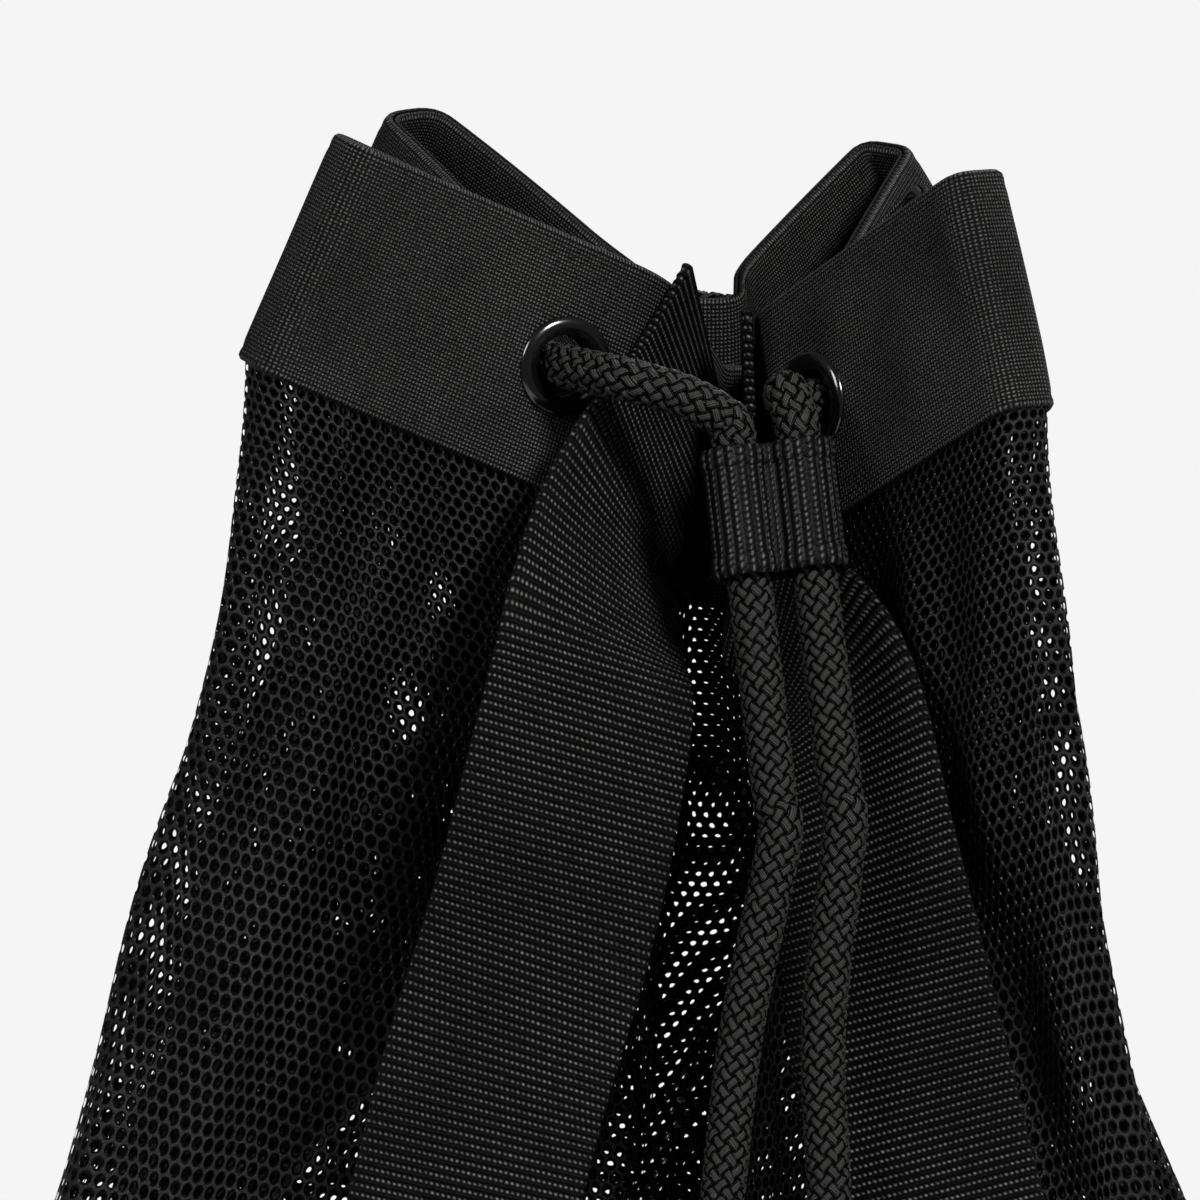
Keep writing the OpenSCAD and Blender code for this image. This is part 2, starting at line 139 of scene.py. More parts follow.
def grid_mesh(name, points, uv, wrap=False, caps=False, flip=False, keep=None, marks=None):
    """points (rows, columns, 3) in mm, uv (rows, columns [+ 1 if wrapped], 2) in metres."""
    rows, cols = points.shape[:2]
    i, j = np.meshgrid(np.arange(rows - 1), np.arange(cols if wrap else cols - 1), indexing="ij")
    i, j = i.ravel(), j.ravel()
    if keep is not None:
        kept = keep[i, j]
        i, j = i[kept], j[kept]
    right = (j + 1) % cols
    here, above = i * cols, (i + 1) * cols
    quads = np.stack([here + j, here + right, above + right, above + j], 1)
    loops = np.stack([uv[i, j], uv[i, j + 1], uv[i + 1, j + 1], uv[i + 1, j]], 1)
    faces = quads.tolist()
    corners = loops.reshape(-1, 2)
    if caps:
        ring = list(range(cols))
        faces += [ring[::-1], [(rows - 1) * cols + k for k in ring]]
        corners = np.concatenate([corners, uv[0, :cols][::-1], uv[-1, :cols]])
    mesh = bpy.data.meshes.new(name)
    mesh.from_pydata((points.reshape(-1, 3) * MM).tolist(), [], faces)
    layer = mesh.uv_layers.new(name="UVMap")
    layer.data.foreach_set("uv", corners.astype(np.float32).ravel())
    for label, values in (marks or {}).items():
        mark = mesh.attributes.new(label, "FLOAT", "POINT")
        mark.data.foreach_set("value", np.asarray(values, np.float32).ravel())
    if flip:
        mesh.flip_normals()
    mesh.polygons.foreach_set("use_smooth", [True] * len(mesh.polygons))
    mesh.update()
    if keep is not None:
        drop_loose_points(mesh)
    return mesh


def drop_loose_points(mesh):
    """Deletes the points that no face uses."""
    work = bmesh.new()
    work.from_mesh(mesh)
    bmesh.ops.delete(work, geom=[v for v in work.verts if not v.link_faces], context="VERTS")
    work.to_mesh(mesh)
    work.free()


def add_piece(name, mesh, material, body="sack", replaces=()):
    """Puts a finished mesh in the scene, on its body and in its material slot."""
    piece = bpy.data.objects.new(name, mesh)
    bpy.context.scene.collection.objects.link(piece)
    mesh.materials.clear()
    mesh.materials.append(material)
    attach(piece, body)
    if replaces:
        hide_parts(*replaces)
    pieces[name] = piece
    print(name, len(mesh.vertices), "points", len(mesh.polygons), "faces")
    return piece


# %% [markdown]
# Cords and straps follow a smooth line through listed points. The line passes through every point,
# and is then cut into equal steps so that braid and ribs stay even along it.

# %% Smooth routes
def smooth_route(points, step):
    """Equal steps along a smooth line through the points; also takes matching extra columns."""
    p = np.asarray(points, float)
    n = len(p) - 1
    dense = []
    for k in range(n):
        a, b, c, d = p[max(k - 1, 0)], p[k], p[k + 1], p[min(k + 2, n)]
        t = np.linspace(0, 1, 24, endpoint=False)[:, None]
        dense.append(0.5 * (2 * b + (c - a) * t + (2 * a - 5 * b + 4 * c - d) * t ** 2
                            + (3 * b - a - 3 * c + d) * t ** 3))
    return even_steps(np.concatenate(dense + [p[-1:]]), step)


def even_steps(line, step):
    """The same line cut into equal steps, measured in its first three columns."""
    lengths = np.linalg.norm(np.diff(line[:, :3], axis=0), axis=1)
    at = np.concatenate([[0], np.cumsum(lengths)])
    count = max(2, int(round(at[-1] / step)) + 1)
    wanted = np.linspace(0, at[-1], count)
    return np.stack([np.interp(wanted, at, line[:, c]) for c in range(line.shape[1])], 1)


def line_length(line):
    return float(np.linalg.norm(np.diff(line[:, :3], axis=0), axis=1).sum())


def unit(v):
    return v / np.linalg.norm(v, axis=-1, keepdims=True)


# %% [markdown]
# ## Helpers for node trees
# Geometry Nodes and materials are both trees of small nodes. These helpers add one node at a
# time and join it to its inputs, so a tree reads like a formula.

# %% Add nodes to a tree
def put(tree, kind, *inputs, **settings):
    """Adds a node. Each input is a value, another node's output, or None to leave it."""
    node = tree.nodes.new(kind)
    for key, value in settings.items():
        setattr(node, key, value)
    for k, value in enumerate(inputs):
        if isinstance(value, bpy.types.NodeSocket):
            tree.links.new(value, node.inputs[k])
        elif value is not None:
            node.inputs[k].default_value = value
    return node


def calc(tree, operation, *inputs):
    """One sum: ADD, MULTIPLY, FRACT, FLOOR, LESS_THAN and so on."""
    return put(tree, "ShaderNodeMath", *inputs, operation=operation).outputs[0]


def hump(tree, value):
    """A row of smooth humps, one per whole number: 0 at each edge and 1 in the middle."""
    centred = calc(tree, "MULTIPLY_ADD", calc(tree, "FRACT", value), 2.0, -1.0)
    return calc(tree, "SUBTRACT", 1.0, calc(tree, "MULTIPLY", centred, centred))


def choose(tree, factor, a, b):
    """a where the factor is 0 and b where it is 1."""
    return put(tree, "ShaderNodeMix", factor, None, a, b).outputs[0]


# %% Start and run a Geometry Nodes tree
def new_tree(name, sizes, sort="GeometryNodeTree"):
    """A tree with named inputs. sizes gives each input's kind and first value."""
    tree = bpy.data.node_groups.new(name, sort)
    if sort == "GeometryNodeTree":
        tree.interface.new_socket("Geometry", in_out="INPUT", socket_type="NodeSocketGeometry")
        tree.interface.new_socket("Geometry", in_out="OUTPUT", socket_type="NodeSocketGeometry")
    for label, (kind, value) in sizes.items():
        socket = tree.interface.new_socket(label, in_out="INPUT", socket_type="NodeSocket" + kind)
        if value is not None:
            socket.default_value = value
    return tree, tree.nodes.new("NodeGroupInput"), tree.nodes.new("NodeGroupOutput")


def run_nodes(mesh, tree, **values):
    """Runs a tree on a mesh and returns the plain mesh that it makes."""
    carrier = bpy.data.objects.new("carrier", mesh)
    bpy.context.scene.collection.objects.link(carrier)
    modifier = carrier.modifiers.new("nodes", "NODES")
    modifier.node_group = tree
    for item in tree.interface.items_tree:
        if item.in_out == "INPUT" and item.name in values:
            modifier[item.identifier] = values[item.name]
    ready = carrier.evaluated_get(bpy.context.evaluated_depsgraph_get())
    result = bpy.data.meshes.new_from_object(ready)
    carrier.modifiers.remove(modifier)
    bpy.data.objects.remove(carrier)
    return result


def line_mesh(name, lines):
    """A mesh of bare edges along one or more lines of points in mm, to run a tree on."""
    points, edges = [], []
    for line, closed in lines:
        first = len(points)
        points += (np.asarray(line) * MM).tolist()
        edges += [(first + k, first + k + 1) for k in range(len(line) - 1)]
        if closed:
            edges.append((len(points) - 1, first))
    mesh = bpy.data.meshes.new(name)
    mesh.from_pydata(points, edges, [])
    return mesh


# %% [markdown]
# ## Finishes
# All of the bag is black, so what tells its pieces apart is texture and gloss: plain woven
# polyester on the collar, a knitted net with round holes, ribbed webbing, a braided cord and
# glossy enamelled eyelets. The repeating effects are shader groups that put out heights and
# masks, and each material places them with its own sizes.

# %% Shader group: plain weave
def weave_group():
    """Over and under threads of a plain weave, measured on the piece's UV map."""
    tree, come, go = new_tree("plain_weave", {
        "Vector": ("Vector", None), "Pitch": ("Float", 0.001)}, "ShaderNodeTree")
    tree.interface.new_socket("Height", in_out="OUTPUT", socket_type="NodeSocketFloat")
    split = put(tree, "ShaderNodeSeparateXYZ", come.outputs["Vector"])
    x = calc(tree, "DIVIDE", split.outputs[0], come.outputs["Pitch"])
    y = calc(tree, "DIVIDE", split.outputs[1], come.outputs["Pitch"])
    cell = calc(tree, "ADD", calc(tree, "FLOOR", x), calc(tree, "FLOOR", y))
    odd = calc(tree, "LESS_THAN", calc(tree, "PINGPONG", cell, 1.0), 0.5)
    across, along = hump(tree, x), hump(tree, y)
    warp = calc(tree, "MULTIPLY", across, calc(tree, "MULTIPLY_ADD", along, 0.45, 0.55))
    weft = calc(tree, "MULTIPLY", along, calc(tree, "MULTIPLY_ADD", across, 0.45, 0.55))
    tree.links.new(choose(tree, odd, warp, weft), go.inputs["Height"])
    return tree


# %% Shader group: round-holed net
def net_group():
    """Round holes in staggered rows. Alpha is 0 in a hole, Height rises over each thread."""
    tree, come, go = new_tree("knitted_net", {
        "Vector": ("Vector", None), "Pitch": ("Float", 0.0032), "Hole": ("Float", 0.3)},
        "ShaderNodeTree")
    for label in ("Alpha", "Height"):
        tree.interface.new_socket(label, in_out="OUTPUT", socket_type="NodeSocketFloat")
    split = put(tree, "ShaderNodeSeparateXYZ", come.outputs["Vector"])
    row = math.sqrt(3)
    x = calc(tree, "DIVIDE", split.outputs[0], come.outputs["Pitch"])
    y = calc(tree, "DIVIDE", calc(tree, "DIVIDE", split.outputs[1], come.outputs["Pitch"]), row)
    nearest = []
    for shift in (0.0, 0.5):
        dx = calc(tree, "SUBTRACT", calc(tree, "FRACT", calc(tree, "ADD", x, shift)), 0.5)
        dy = calc(tree, "SUBTRACT", calc(tree, "FRACT", calc(tree, "ADD", y, shift)), 0.5)
        dy = calc(tree, "MULTIPLY", dy, row)
        nearest.append(calc(tree, "SQRT", calc(tree, "ADD", calc(tree, "MULTIPLY", dx, dx),
                                               calc(tree, "MULTIPLY", dy, dy))))
    away = calc(tree, "MINIMUM", *nearest)
    past = calc(tree, "SUBTRACT", away, come.outputs["Hole"])
    alpha = put(tree, "ShaderNodeMapRange", past, -0.012, 0.012, 0.0, 1.0, clamp=True)
    lift = put(tree, "ShaderNodeMapRange", past, 0.0, 0.16, 0.0, 1.0, clamp=True,
               interpolation_type="SMOOTHSTEP")
    tree.links.new(alpha.outputs[0], go.inputs["Alpha"])
    tree.links.new(lift.outputs[0], go.inputs["Height"])
    return tree


# %% Shader group: yarns of ribbed webbing
def web_group():
    """Short yarns side by side on each rib, staggered from one rib to the next."""
    tree, come, go = new_tree("webbing_yarns", {
        "Vector": ("Vector", None), "Rib": ("Float", 0.002), "Yarn": ("Float", 0.001)},
        "ShaderNodeTree")
    tree.interface.new_socket("Height", in_out="OUTPUT", socket_type="NodeSocketFloat")
    split = put(tree, "ShaderNodeSeparateXYZ", come.outputs["Vector"])
    y = calc(tree, "DIVIDE", split.outputs[1], come.outputs["Rib"])
    stagger = calc(tree, "MULTIPLY", calc(tree, "PINGPONG", calc(tree, "FLOOR", y), 1.0), 0.5)
    x = calc(tree, "DIVIDE", split.outputs[0], come.outputs["Yarn"])
    slant = calc(tree, "MULTIPLY", calc(tree, "FRACT", y), 0.35)
    yarn = hump(tree, calc(tree, "ADD", calc(tree, "ADD", x, stagger), slant))
    rib = calc(tree, "POWER", hump(tree, y), 1.5)
    tree.links.new(calc(tree, "MULTIPLY", calc(tree, "MULTIPLY_ADD", yarn, 0.5, 0.5), rib),
                   go.inputs["Height"])
    return tree


# %% Shader group: yarns of a round braid
def braid_group():
    """Fine filaments that run along each strand of the braid, and which strand is on top."""
    tree, come, go = new_tree("braid_yarns", {
        "Vector": ("Vector", None), "Strands": ("Float", 8.0), "Lay": ("Float", 0.03)},
        "ShaderNodeTree")
    for label in ("Height", "Top"):
        tree.interface.new_socket(label, in_out="OUTPUT", socket_type="NodeSocketFloat")
    split = put(tree, "ShaderNodeSeparateXYZ", come.outputs["Vector"])
    turns = calc(tree, "DIVIDE", split.outputs[1], come.outputs["Lay"])
    a = calc(tree, "MULTIPLY", calc(tree, "ADD", split.outputs[0], turns), come.outputs["Strands"])
    b = calc(tree, "MULTIPLY", calc(tree, "SUBTRACT", split.outputs[0], turns),
             come.outputs["Strands"])
    cell = calc(tree, "ADD", calc(tree, "FLOOR", a), calc(tree, "FLOOR", b))
    odd = calc(tree, "LESS_THAN", calc(tree, "PINGPONG", cell, 1.0), 0.5)
    fine_a = hump(tree, calc(tree, "MULTIPLY", a, 5.0))
    fine_b = hump(tree, calc(tree, "MULTIPLY", b, 5.0))
    top = choose(tree, odd, hump(tree, a), hump(tree, b))
    fine = choose(tree, odd, fine_a, fine_b)
    tree.links.new(calc(tree, "MULTIPLY_ADD", fine, 0.3, top), go.inputs["Height"])
    tree.links.new(top, go.inputs["Top"])
    return tree


# %% Shader group: wear and lint
def lint_group():
    """Slow fading and fine pale lint, from noise on the object's own place. The same noise also
    fades and breaks up the painted highlights on thread tops.
    """
    tree, come, go = new_tree("lint", {
        "Vector": ("Vector", None), "Cloud": ("Float", 25.0), "Fibre": ("Float", 900.0)},
        "ShaderNodeTree")
    for label in ("Fade", "Fibre"):
        tree.interface.new_socket(label, in_out="OUTPUT", socket_type="NodeSocketFloat")
    cloud = put(tree, "ShaderNodeTexNoise", come.outputs["Vector"], None,
                come.outputs["Cloud"], 3.0, noise_dimensions="3D")
    fibre = put(tree, "ShaderNodeTexNoise", come.outputs["Vector"], None,
                come.outputs["Fibre"], 2.0, noise_dimensions="3D")
    tree.links.new(cloud.outputs[0], go.inputs["Fade"])
    tree.links.new(fibre.outputs[0], go.inputs["Fibre"])
    return tree


effects = {"weave": weave_group(), "net": net_group(), "web": web_group(),
           "braid": braid_group(), "lint": lint_group()}
print("shader groups:", sorted(effects))

# %% [markdown]
# A material mixes a dark colour with a slightly paler one. The paler one is a painted highlight on
# the tops of the threads, where light catches the filaments. Fine lint noise breaks it into specks,
# and slow noise fades it here and there. On finishes without threads it gives only random pale
# specks. The same height also drives the bump.


# %% Materials
def use_effect(tree, effect, vector, **values):
    """Places a shader group in a material and sets its sizes."""
    node = tree.nodes.new("ShaderNodeGroup")
    node.node_tree = effects[effect]
    tree.links.new(vector, node.inputs["Vector"])
    for label, value in values.items():
        node.inputs[label].default_value = value
    return node


def black_finish(name, dark, light, rough, bump, effect=None, sheen=0.0, specular=0.35,
                 fibre=900.0, tops=1.0, sharp=3.0, **sizes):
    """A black finish. effect names the group that gives its threads, if it has any."""
    material = bpy.data.materials.new(name)
    material.use_nodes = True
    tree = material.node_tree
    shader = tree.nodes["Principled BSDF"]
    place = put(tree, "ShaderNodeTexCoord")
    lint = use_effect(tree, "lint", place.outputs["Object"], Fibre=fibre)
    height = lint.outputs["Fibre"]
    top = lint.outputs["Fibre"]
    if effect:
        threads = use_effect(tree, effect, place.outputs["UV"], **sizes)
        height = calc(tree, "MULTIPLY_ADD", lint.outputs["Fibre"], 0.35, threads.outputs["Height"])
        top = threads.outputs["Height"]
        if effect == "net":
            tree.links.new(threads.outputs["Alpha"], shader.inputs["Alpha"])
    # Painted highlight: the paler colour goes on the thread tops, broken up by the lint noise.
    # Without threads it gives random pale specks.
    speck = calc(tree, "MULTIPLY_ADD", lint.outputs["Fibre"], 2.4, -0.5)
    glint_and_lint_mask = calc(tree, "MULTIPLY", calc(tree, "POWER", top, sharp),
                calc(tree, "MULTIPLY", calc(tree, "MAXIMUM", speck, 0.0),
                     calc(tree, "MULTIPLY", lint.outputs["Fade"], tops * 2.0)))
    colour = put(tree, "ShaderNodeMix", glint_and_lint_mask, data_type="RGBA")
    colour.clamp_factor = True
    colour.inputs[6].default_value = (*dark, 1)
    colour.inputs[7].default_value = (*light, 1)
    tree.links.new(colour.outputs[2], shader.inputs["Base Color"])
    gloss = calc(tree, "MULTIPLY_ADD", lint.outputs["Fade"], 0.2, rough - 0.1)
    tree.links.new(gloss, shader.inputs["Roughness"])
    relief = put(tree, "ShaderNodeBump", 1.0, bump * MM)
    tree.links.new(height, relief.inputs["Height"])
    tree.links.new(relief.outputs[0], shader.inputs["Normal"])
    shader.inputs["Specular IOR Level"].default_value = specular
    shader.inputs["Sheen Weight"].default_value = sheen
    shader.inputs["Sheen Roughness"].default_value = 0.4
    return material


rib_pitch = 1.8
cord_lay = 27.0
cord_strands = 8
# The second colour of each finish is its painted highlight on the thread tops, and random pale
# specks on thread, enamel and plastic.
collar_finish = black_finish("collar cloth", (0.0008,) * 3, (0.1, 0.1, 0.096), 0.6, 0.8,
                             "weave", sheen=0.0, specular=0.15, fibre=1400.0, sharp=4.5,
                             Pitch=0.0008)
net_finish = black_finish("net", (0.0005, 0.0005, 0.0006), (0.022, 0.022, 0.023), 0.3, 0.7, "net",
                          sheen=0.0, specular=0.1, fibre=2600.0, sharp=5.0, Pitch=0.0025,
                          Hole=0.29)
web_finish = black_finish("webbing", (0.001,) * 3, (0.11, 0.11, 0.104), 0.5, 0.9, "web",
                          sheen=0.0, specular=0.12, fibre=1500.0, sharp=7.0,
                          Rib=rib_pitch * MM, Yarn=0.0011)
keeper_finish = black_finish("keeper webbing", (0.001,) * 3, (0.11, 0.11, 0.104), 0.5, 0.9,
                             "web", sheen=0.0, specular=0.12, fibre=1500.0, sharp=5.0,
                             Rib=0.0017, Yarn=0.0013)
tape_finish = black_finish("tape", (0.0014,) * 3, (0.02,) * 3, 0.6, 0.15, "web",
                           sheen=0.01, specular=0.2, Rib=0.0009, Yarn=0.0006)
cord_finish = black_finish("braided cord", (0.0005,) * 3, (0.03, 0.029, 0.028), 0.36, 0.7,
                           "braid", sheen=0.0, specular=0.08, fibre=1800.0, sharp=24.0,
                           Strands=float(cord_strands), Lay=cord_lay * MM)
thread_finish = black_finish("sewing thread", (0.002,) * 3, (0.02,) * 3, 0.4, 0.05,
                             specular=0.2)
enamel_finish = black_finish("black enamel", (0.0015,) * 3, (0.003,) * 3, 0.16, 0.004,
                             specular=0.5, fibre=1600.0)
plastic_finish = black_finish("satin plastic", (0.003,) * 3, (0.008,) * 3, 0.38, 0.02,
                              specular=0.4, fibre=2500.0)
enamel_finish.node_tree.nodes["Principled BSDF"].inputs["Coat Weight"].default_value = 0.6
print("materials:", len(bpy.data.materials))

# %% [markdown]
# ## The gathered line
# When the cord is pulled, the collar's lower edge folds in and out: where the cord runs inside
# the collar the cloth stands out as a lobe, and where it runs outside the cloth is pressed in
# as a valley. The corners of that line are the model's own, and each corner is rounded here in
# many more steps. Every other piece of cloth hangs from this line.

# %% The folded line
# Corners: [x, y, height over the mouth, lean of the collar's top in x and y, rounding].
folds = np.array([
    [32, 6, 4, 1, 2, 5], [18, 6, 4, 6, 2, 5],
    [0, -48, 33, 13, 9, 8],
    [-66, -77, 67, 19, 13, 4], [-71, -66, 68, 19, 13, 4],
    [-24, -25, 38, 15, 8, 8],
    [-8, -18, 22, 4, 0, 5], [-8, -6, 16, 4, 0, 5],
    [-22, 6, 25, 12, -8, 8],
    [-61, 60, 58, 18, -21, 5], [-51, 68, 58, 18, -21, 5],
    [-6, 46, 26, 8, -14, 8],
    [14, 32, 13, 0, 0, 5], [28, 32, 13, 0, 0, 5],
    [40, 46, 22, -12, -12, 8],
    [73, 82, 47, -20, -17, 4], [82, 74, 47, -20, -17, 4],
    [60, 26, 22, -14, -8, 8],
    [47, 14, 16, -6, 0, 4], [77, 8, 43, -14, 0, 4],
    [79, -2, 43, -14, 0, 4], [47, -12, 16, -6, 2, 4],
    [54, -36, 28, -12, 14, 8],
    [89, -86, 62, -10, 18, 4], [80, -95, 63, -10, 18, 4],
    [36, -45, 24, -4, 13, 8]], float)
eyelet_runs = [(2, 3), (5, 4), (8, 9), (11, 10), (14, 15), (17, 16), (22, 23), (25, 24)]


def rounded_line(steps=8):
    """The folded line as many points [x, y, z, lean x, lean y], and where each corner starts."""
    found, starts = [], []
    for k in range(len(folds)):
        v, before, after = folds[k, :5], folds[k - 1, :5], folds[(k + 1) % len(folds), :5]
        reach = folds[k, 5]
        a = v + (before - v) * min(0.45, reach / np.linalg.norm((before - v)[:3]))
        b = v + (after - v) * min(0.45, reach / np.linalg.norm((after - v)[:3]))
        starts.append(len(found) + steps // 2)
        for t in np.linspace(0, 1, steps + 1):
            found.append((1 - t) ** 2 * a + 2 * t * (1 - t) * v + t * t * b)
    return np.array(found), starts


gathered, corner_starts = rounded_line()
looped = np.concatenate([gathered, gathered[:1]])
plan_steps = np.linalg.norm(np.diff(looped[:, :2], axis=0), axis=1)
plan_at = np.concatenate([[0], np.cumsum(plan_steps)])
line_len = plan_at[-1]
front_at = (plan_at[corner_starts[0]] + plan_at[corner_starts[1]]) / 2
true_at = np.concatenate([[0], np.cumsum(np.linalg.norm(np.diff(looped[:, :3], axis=0), axis=1))])
print("the gathered line is", round(float(true_at[-1])), "mm round")


def line_at(s):
    """The folded line at distances s round it, measured in plan."""
    s = np.mod(s, line_len)
    return np.stack([np.interp(s, plan_at, looped[:, c]) for c in range(5)], -1)


def cloth_at(s):
    """Distance along the cloth itself, in mm, for the UV maps."""
    turns = np.floor(s / line_len)
    return turns * true_at[-1] + np.interp(np.mod(s, line_len), plan_at, true_at)


def rise(p):
    up = np.sqrt(collar_h ** 2 - p[..., 3] ** 2 - p[..., 4] ** 2)
    return np.stack([p[..., 3], p[..., 4], up], -1) / collar_h


def foot(p):
    return p[..., :3] + np.array([0, 0, mouth_z])


def on_collar(s, h, out):
    """Points on the collar: s round it, h up it and out from the middle of its cloth."""
    p = line_at(s)
    near = 1.0
    side = unit(np.cross(rise(p), foot(line_at(s + near)) - foot(line_at(s - near))))
    return foot(p) + rise(p) * np.asarray(h)[..., None] + side * np.asarray(out)[..., None]


# %% The sack's wall
def smoothstep(t):
    t = np.clip(t, 0, 1)
    return t * t * (3 - 2 * t)


def sack_r(z):
    floor = binding_h + gap
    curve = np.clip((z - floor) / (base_curve - floor), 0, 1)
    low = base_r + (belly_r - base_r) * np.sqrt(1 - (1 - curve) ** 2)
    share = np.clip((z - mouth_z + top_blend + 10) / (top_blend + 10), 0, 1)
    high = neck_r + (belly_r - neck_r) * (0.5 + 0.5 * np.cos(np.pi * share))
    return np.where(z < base_curve, low, high)


def wall_growth(h):
    """How far the wall has widened at a height over the mouth."""
    return float(sack_r(np.array(mouth_z + h))) - neck_r if h < 0 else 0.0


def wall_point(s, z):
    p = line_at(s)
    w = smoothstep((z - mouth_z + top_blend) / (top_blend - 20))[..., None]
    turn = 2 * np.pi * (s - front_at) / line_len
    ring = np.stack([-np.sin(turn), -np.cos(turn)], -1)
    mid = mouth_c * smoothstep((z - mouth_z + 240) / 200)[..., None]
    folded = (p[..., :2] - mouth_c) / neck_r
    xy = mid + sack_r(z)[..., None] * (w * folded + (1 - w) * ring)
    return np.concatenate([xy, (z + w[..., 0] * p[..., 2])[..., None]], -1)


def wall_side(s, z):
    """Outward directions of the sack's wall, level with the ground."""
    near = 2.0
    across = wall_point(s + near, z) - wall_point(s - near, z)
    return unit(np.cross(np.array([0.0, 0.0, 1.0]), across))


# %% [markdown]
# ## Drawcord
# The cord is a thick round braid: sixteen strands, eight wound each way, that pass over and
# under each other, so its surface is rows of small chevrons. Wrapping a picture of a braid
# round a plain tube would leave its outline smooth. Here a Geometry Nodes tree sweeps the
# tube and lifts each strand where it is on top, so the braid is real relief.

# %% Geometry Nodes: a round braid
def braid_tree():
    tree, come, go = new_tree("round_braid", {
        "Radius": ("Float", 0.005), "Step": ("Float", 0.0008), "Sides": ("Int", 48),
        "Strands": ("Int", 8), "Lay": ("Float", 0.03), "Depth": ("Float", 0.0006),
        "Material": ("Material", None)})
    line = put(tree, "GeometryNodeMeshToCurve", come.outputs["Geometry"])
    even = put(tree, "GeometryNodeResampleCurve", line.outputs[0], mode="LENGTH")
    tree.links.new(come.outputs["Step"], even.inputs["Length"])
    spot = put(tree, "GeometryNodeSplineParameter")
    rail = put(tree, "GeometryNodeStoreNamedAttribute", even.outputs[0], None, "along",
               spot.outputs["Length"], data_type="FLOAT", domain="POINT")
    ring = put(tree, "GeometryNodeCurvePrimitiveCircle", come.outputs["Sides"], mode="RADIUS")
    tree.links.new(come.outputs["Radius"], ring.inputs["Radius"])
    round_ = put(tree, "GeometryNodeStoreNamedAttribute", ring.outputs[0], None, "around",
                 spot.outputs["Factor"], data_type="FLOAT", domain="POINT")
    tube = put(tree, "GeometryNodeCurveToMesh", rail.outputs[0], round_.outputs[0])
    tube.inputs["Fill Caps"].default_value = True
    along = put(tree, "GeometryNodeInputNamedAttribute", "along", data_type="FLOAT").outputs[0]
    around = put(tree, "GeometryNodeInputNamedAttribute", "around", data_type="FLOAT").outputs[0]
    turns = calc(tree, "DIVIDE", along, come.outputs["Lay"])
    a = calc(tree, "MULTIPLY", calc(tree, "ADD", around, turns), come.outputs["Strands"])
    b = calc(tree, "MULTIPLY", calc(tree, "SUBTRACT", around, turns), come.outputs["Strands"])
    cell = calc(tree, "ADD", calc(tree, "FLOOR", a), calc(tree, "FLOOR", b))
    odd = calc(tree, "LESS_THAN", calc(tree, "PINGPONG", cell, 1.0), 0.5)
    height = choose(tree, odd, hump(tree, a), hump(tree, b))
    lift = calc(tree, "MULTIPLY", calc(tree, "SUBTRACT", height, 0.75), come.outputs["Depth"])
    outwards = put(tree, "GeometryNodeInputNormal").outputs[0]
    moved = put(tree, "ShaderNodeVectorMath", outwards, operation="SCALE")
    tree.links.new(lift, moved.inputs["Scale"])
    shaped = put(tree, "GeometryNodeSetPosition", tube.outputs[0], None, None, moved.outputs[0])
    real = put(tree, "GeometryNodeRealizeInstances", shaped.outputs[0])
    painted = put(tree, "GeometryNodeSetMaterial", real.outputs[0])
    tree.links.new(come.outputs["Material"], painted.inputs["Material"])
    tree.links.new(painted.outputs[0], go.inputs[0])
    return tree


braid = braid_tree()


def braided(name, line, radius=cord_r, step=0.8, sides=48):
    """A braided cord along a line of points in mm, with a UV map of turns and metres."""
    mesh = run_nodes(line_mesh(name, [(line, False)]), braid, Radius=radius * MM, Step=step * MM,
                     Sides=sides, Strands=cord_strands, Lay=cord_lay * MM, Depth=0.0011,
                     Material=cord_finish)
    mesh.name = name
    count = len(mesh.vertices)
    along, around = np.zeros(count, np.float32), np.zeros(count, np.float32)
    mesh.attributes["along"].data.foreach_get("value", along)
    mesh.attributes["around"].data.foreach_get("value", around)
    corner = np.zeros(len(mesh.loops), np.int32)
    mesh.loops.foreach_get("vertex_index", corner)
    uv = np.stack([around[corner], along[corner]], 1)
    first = np.zeros(len(mesh.polygons), np.int32)
    size = np.zeros(len(mesh.polygons), np.int32)
    mesh.polygons.foreach_get("loop_start", first)
    mesh.polygons.foreach_get("loop_total", size)
    quad = first[size == 4][:, None] + np.arange(4)
    turned = uv[quad, 0]
    turned[(turned.max(1) - turned.min(1) > 0.5)[:, None] & (turned < 0.5)] += 1.0
    uv[quad, 0] = turned
    layer = mesh.uv_layers.get("UVMap") or mesh.uv_layers.new(name="UVMap")
    layer.data.foreach_set("uv", uv.astype(np.float32).ravel())
    mesh.polygons.foreach_set("use_smooth", [True] * len(mesh.polygons))
    return mesh


# %% [markdown]
# The cord starts inside the keeper, crosses the strap's top, goes in through the first eyelet
# and out and in through the others, and comes back to the keeper. Its two tails hang down the
# front, each to a knot. The points are the model's own.

# %% The cord's points
keeper_top = np.array([33.0, -70.0, mouth_z + 50])
keeper_across = np.array([math.cos(keeper_lean), 0.0, math.sin(keeper_lean)])
keeper_down = np.array([math.cos(keeper_tilt) * math.sin(keeper_lean), -math.sin(keeper_tilt),
                        -math.cos(keeper_tilt) * math.cos(keeper_lean)])
straight_to = keeper_h + keeper_travel


def tail_at(side, s):
    return keeper_top + (side - 0.5) * tail_gap * keeper_across + keeper_down * s


def eyelet_place(k):
    """Centre and outward direction of eyelet k, from 1 to 8."""
    a, b = (folds[i, :5] for i in eyelet_runs[k - 1])
    spot = a + (b - a) * eyelet_in / np.linalg.norm(b - a)
    run = (1 if k % 2 else -1) * (foot(b) - foot(a))
    return foot(spot) + rise(spot) * collar_h / 2, unit(np.cross(rise(spot), run))


def through(k, inwards):
    centre, facing = eyelet_place(k)
    facing = facing if inwards else -facing
    return [centre + 8 * facing, centre, centre - 8 * facing]


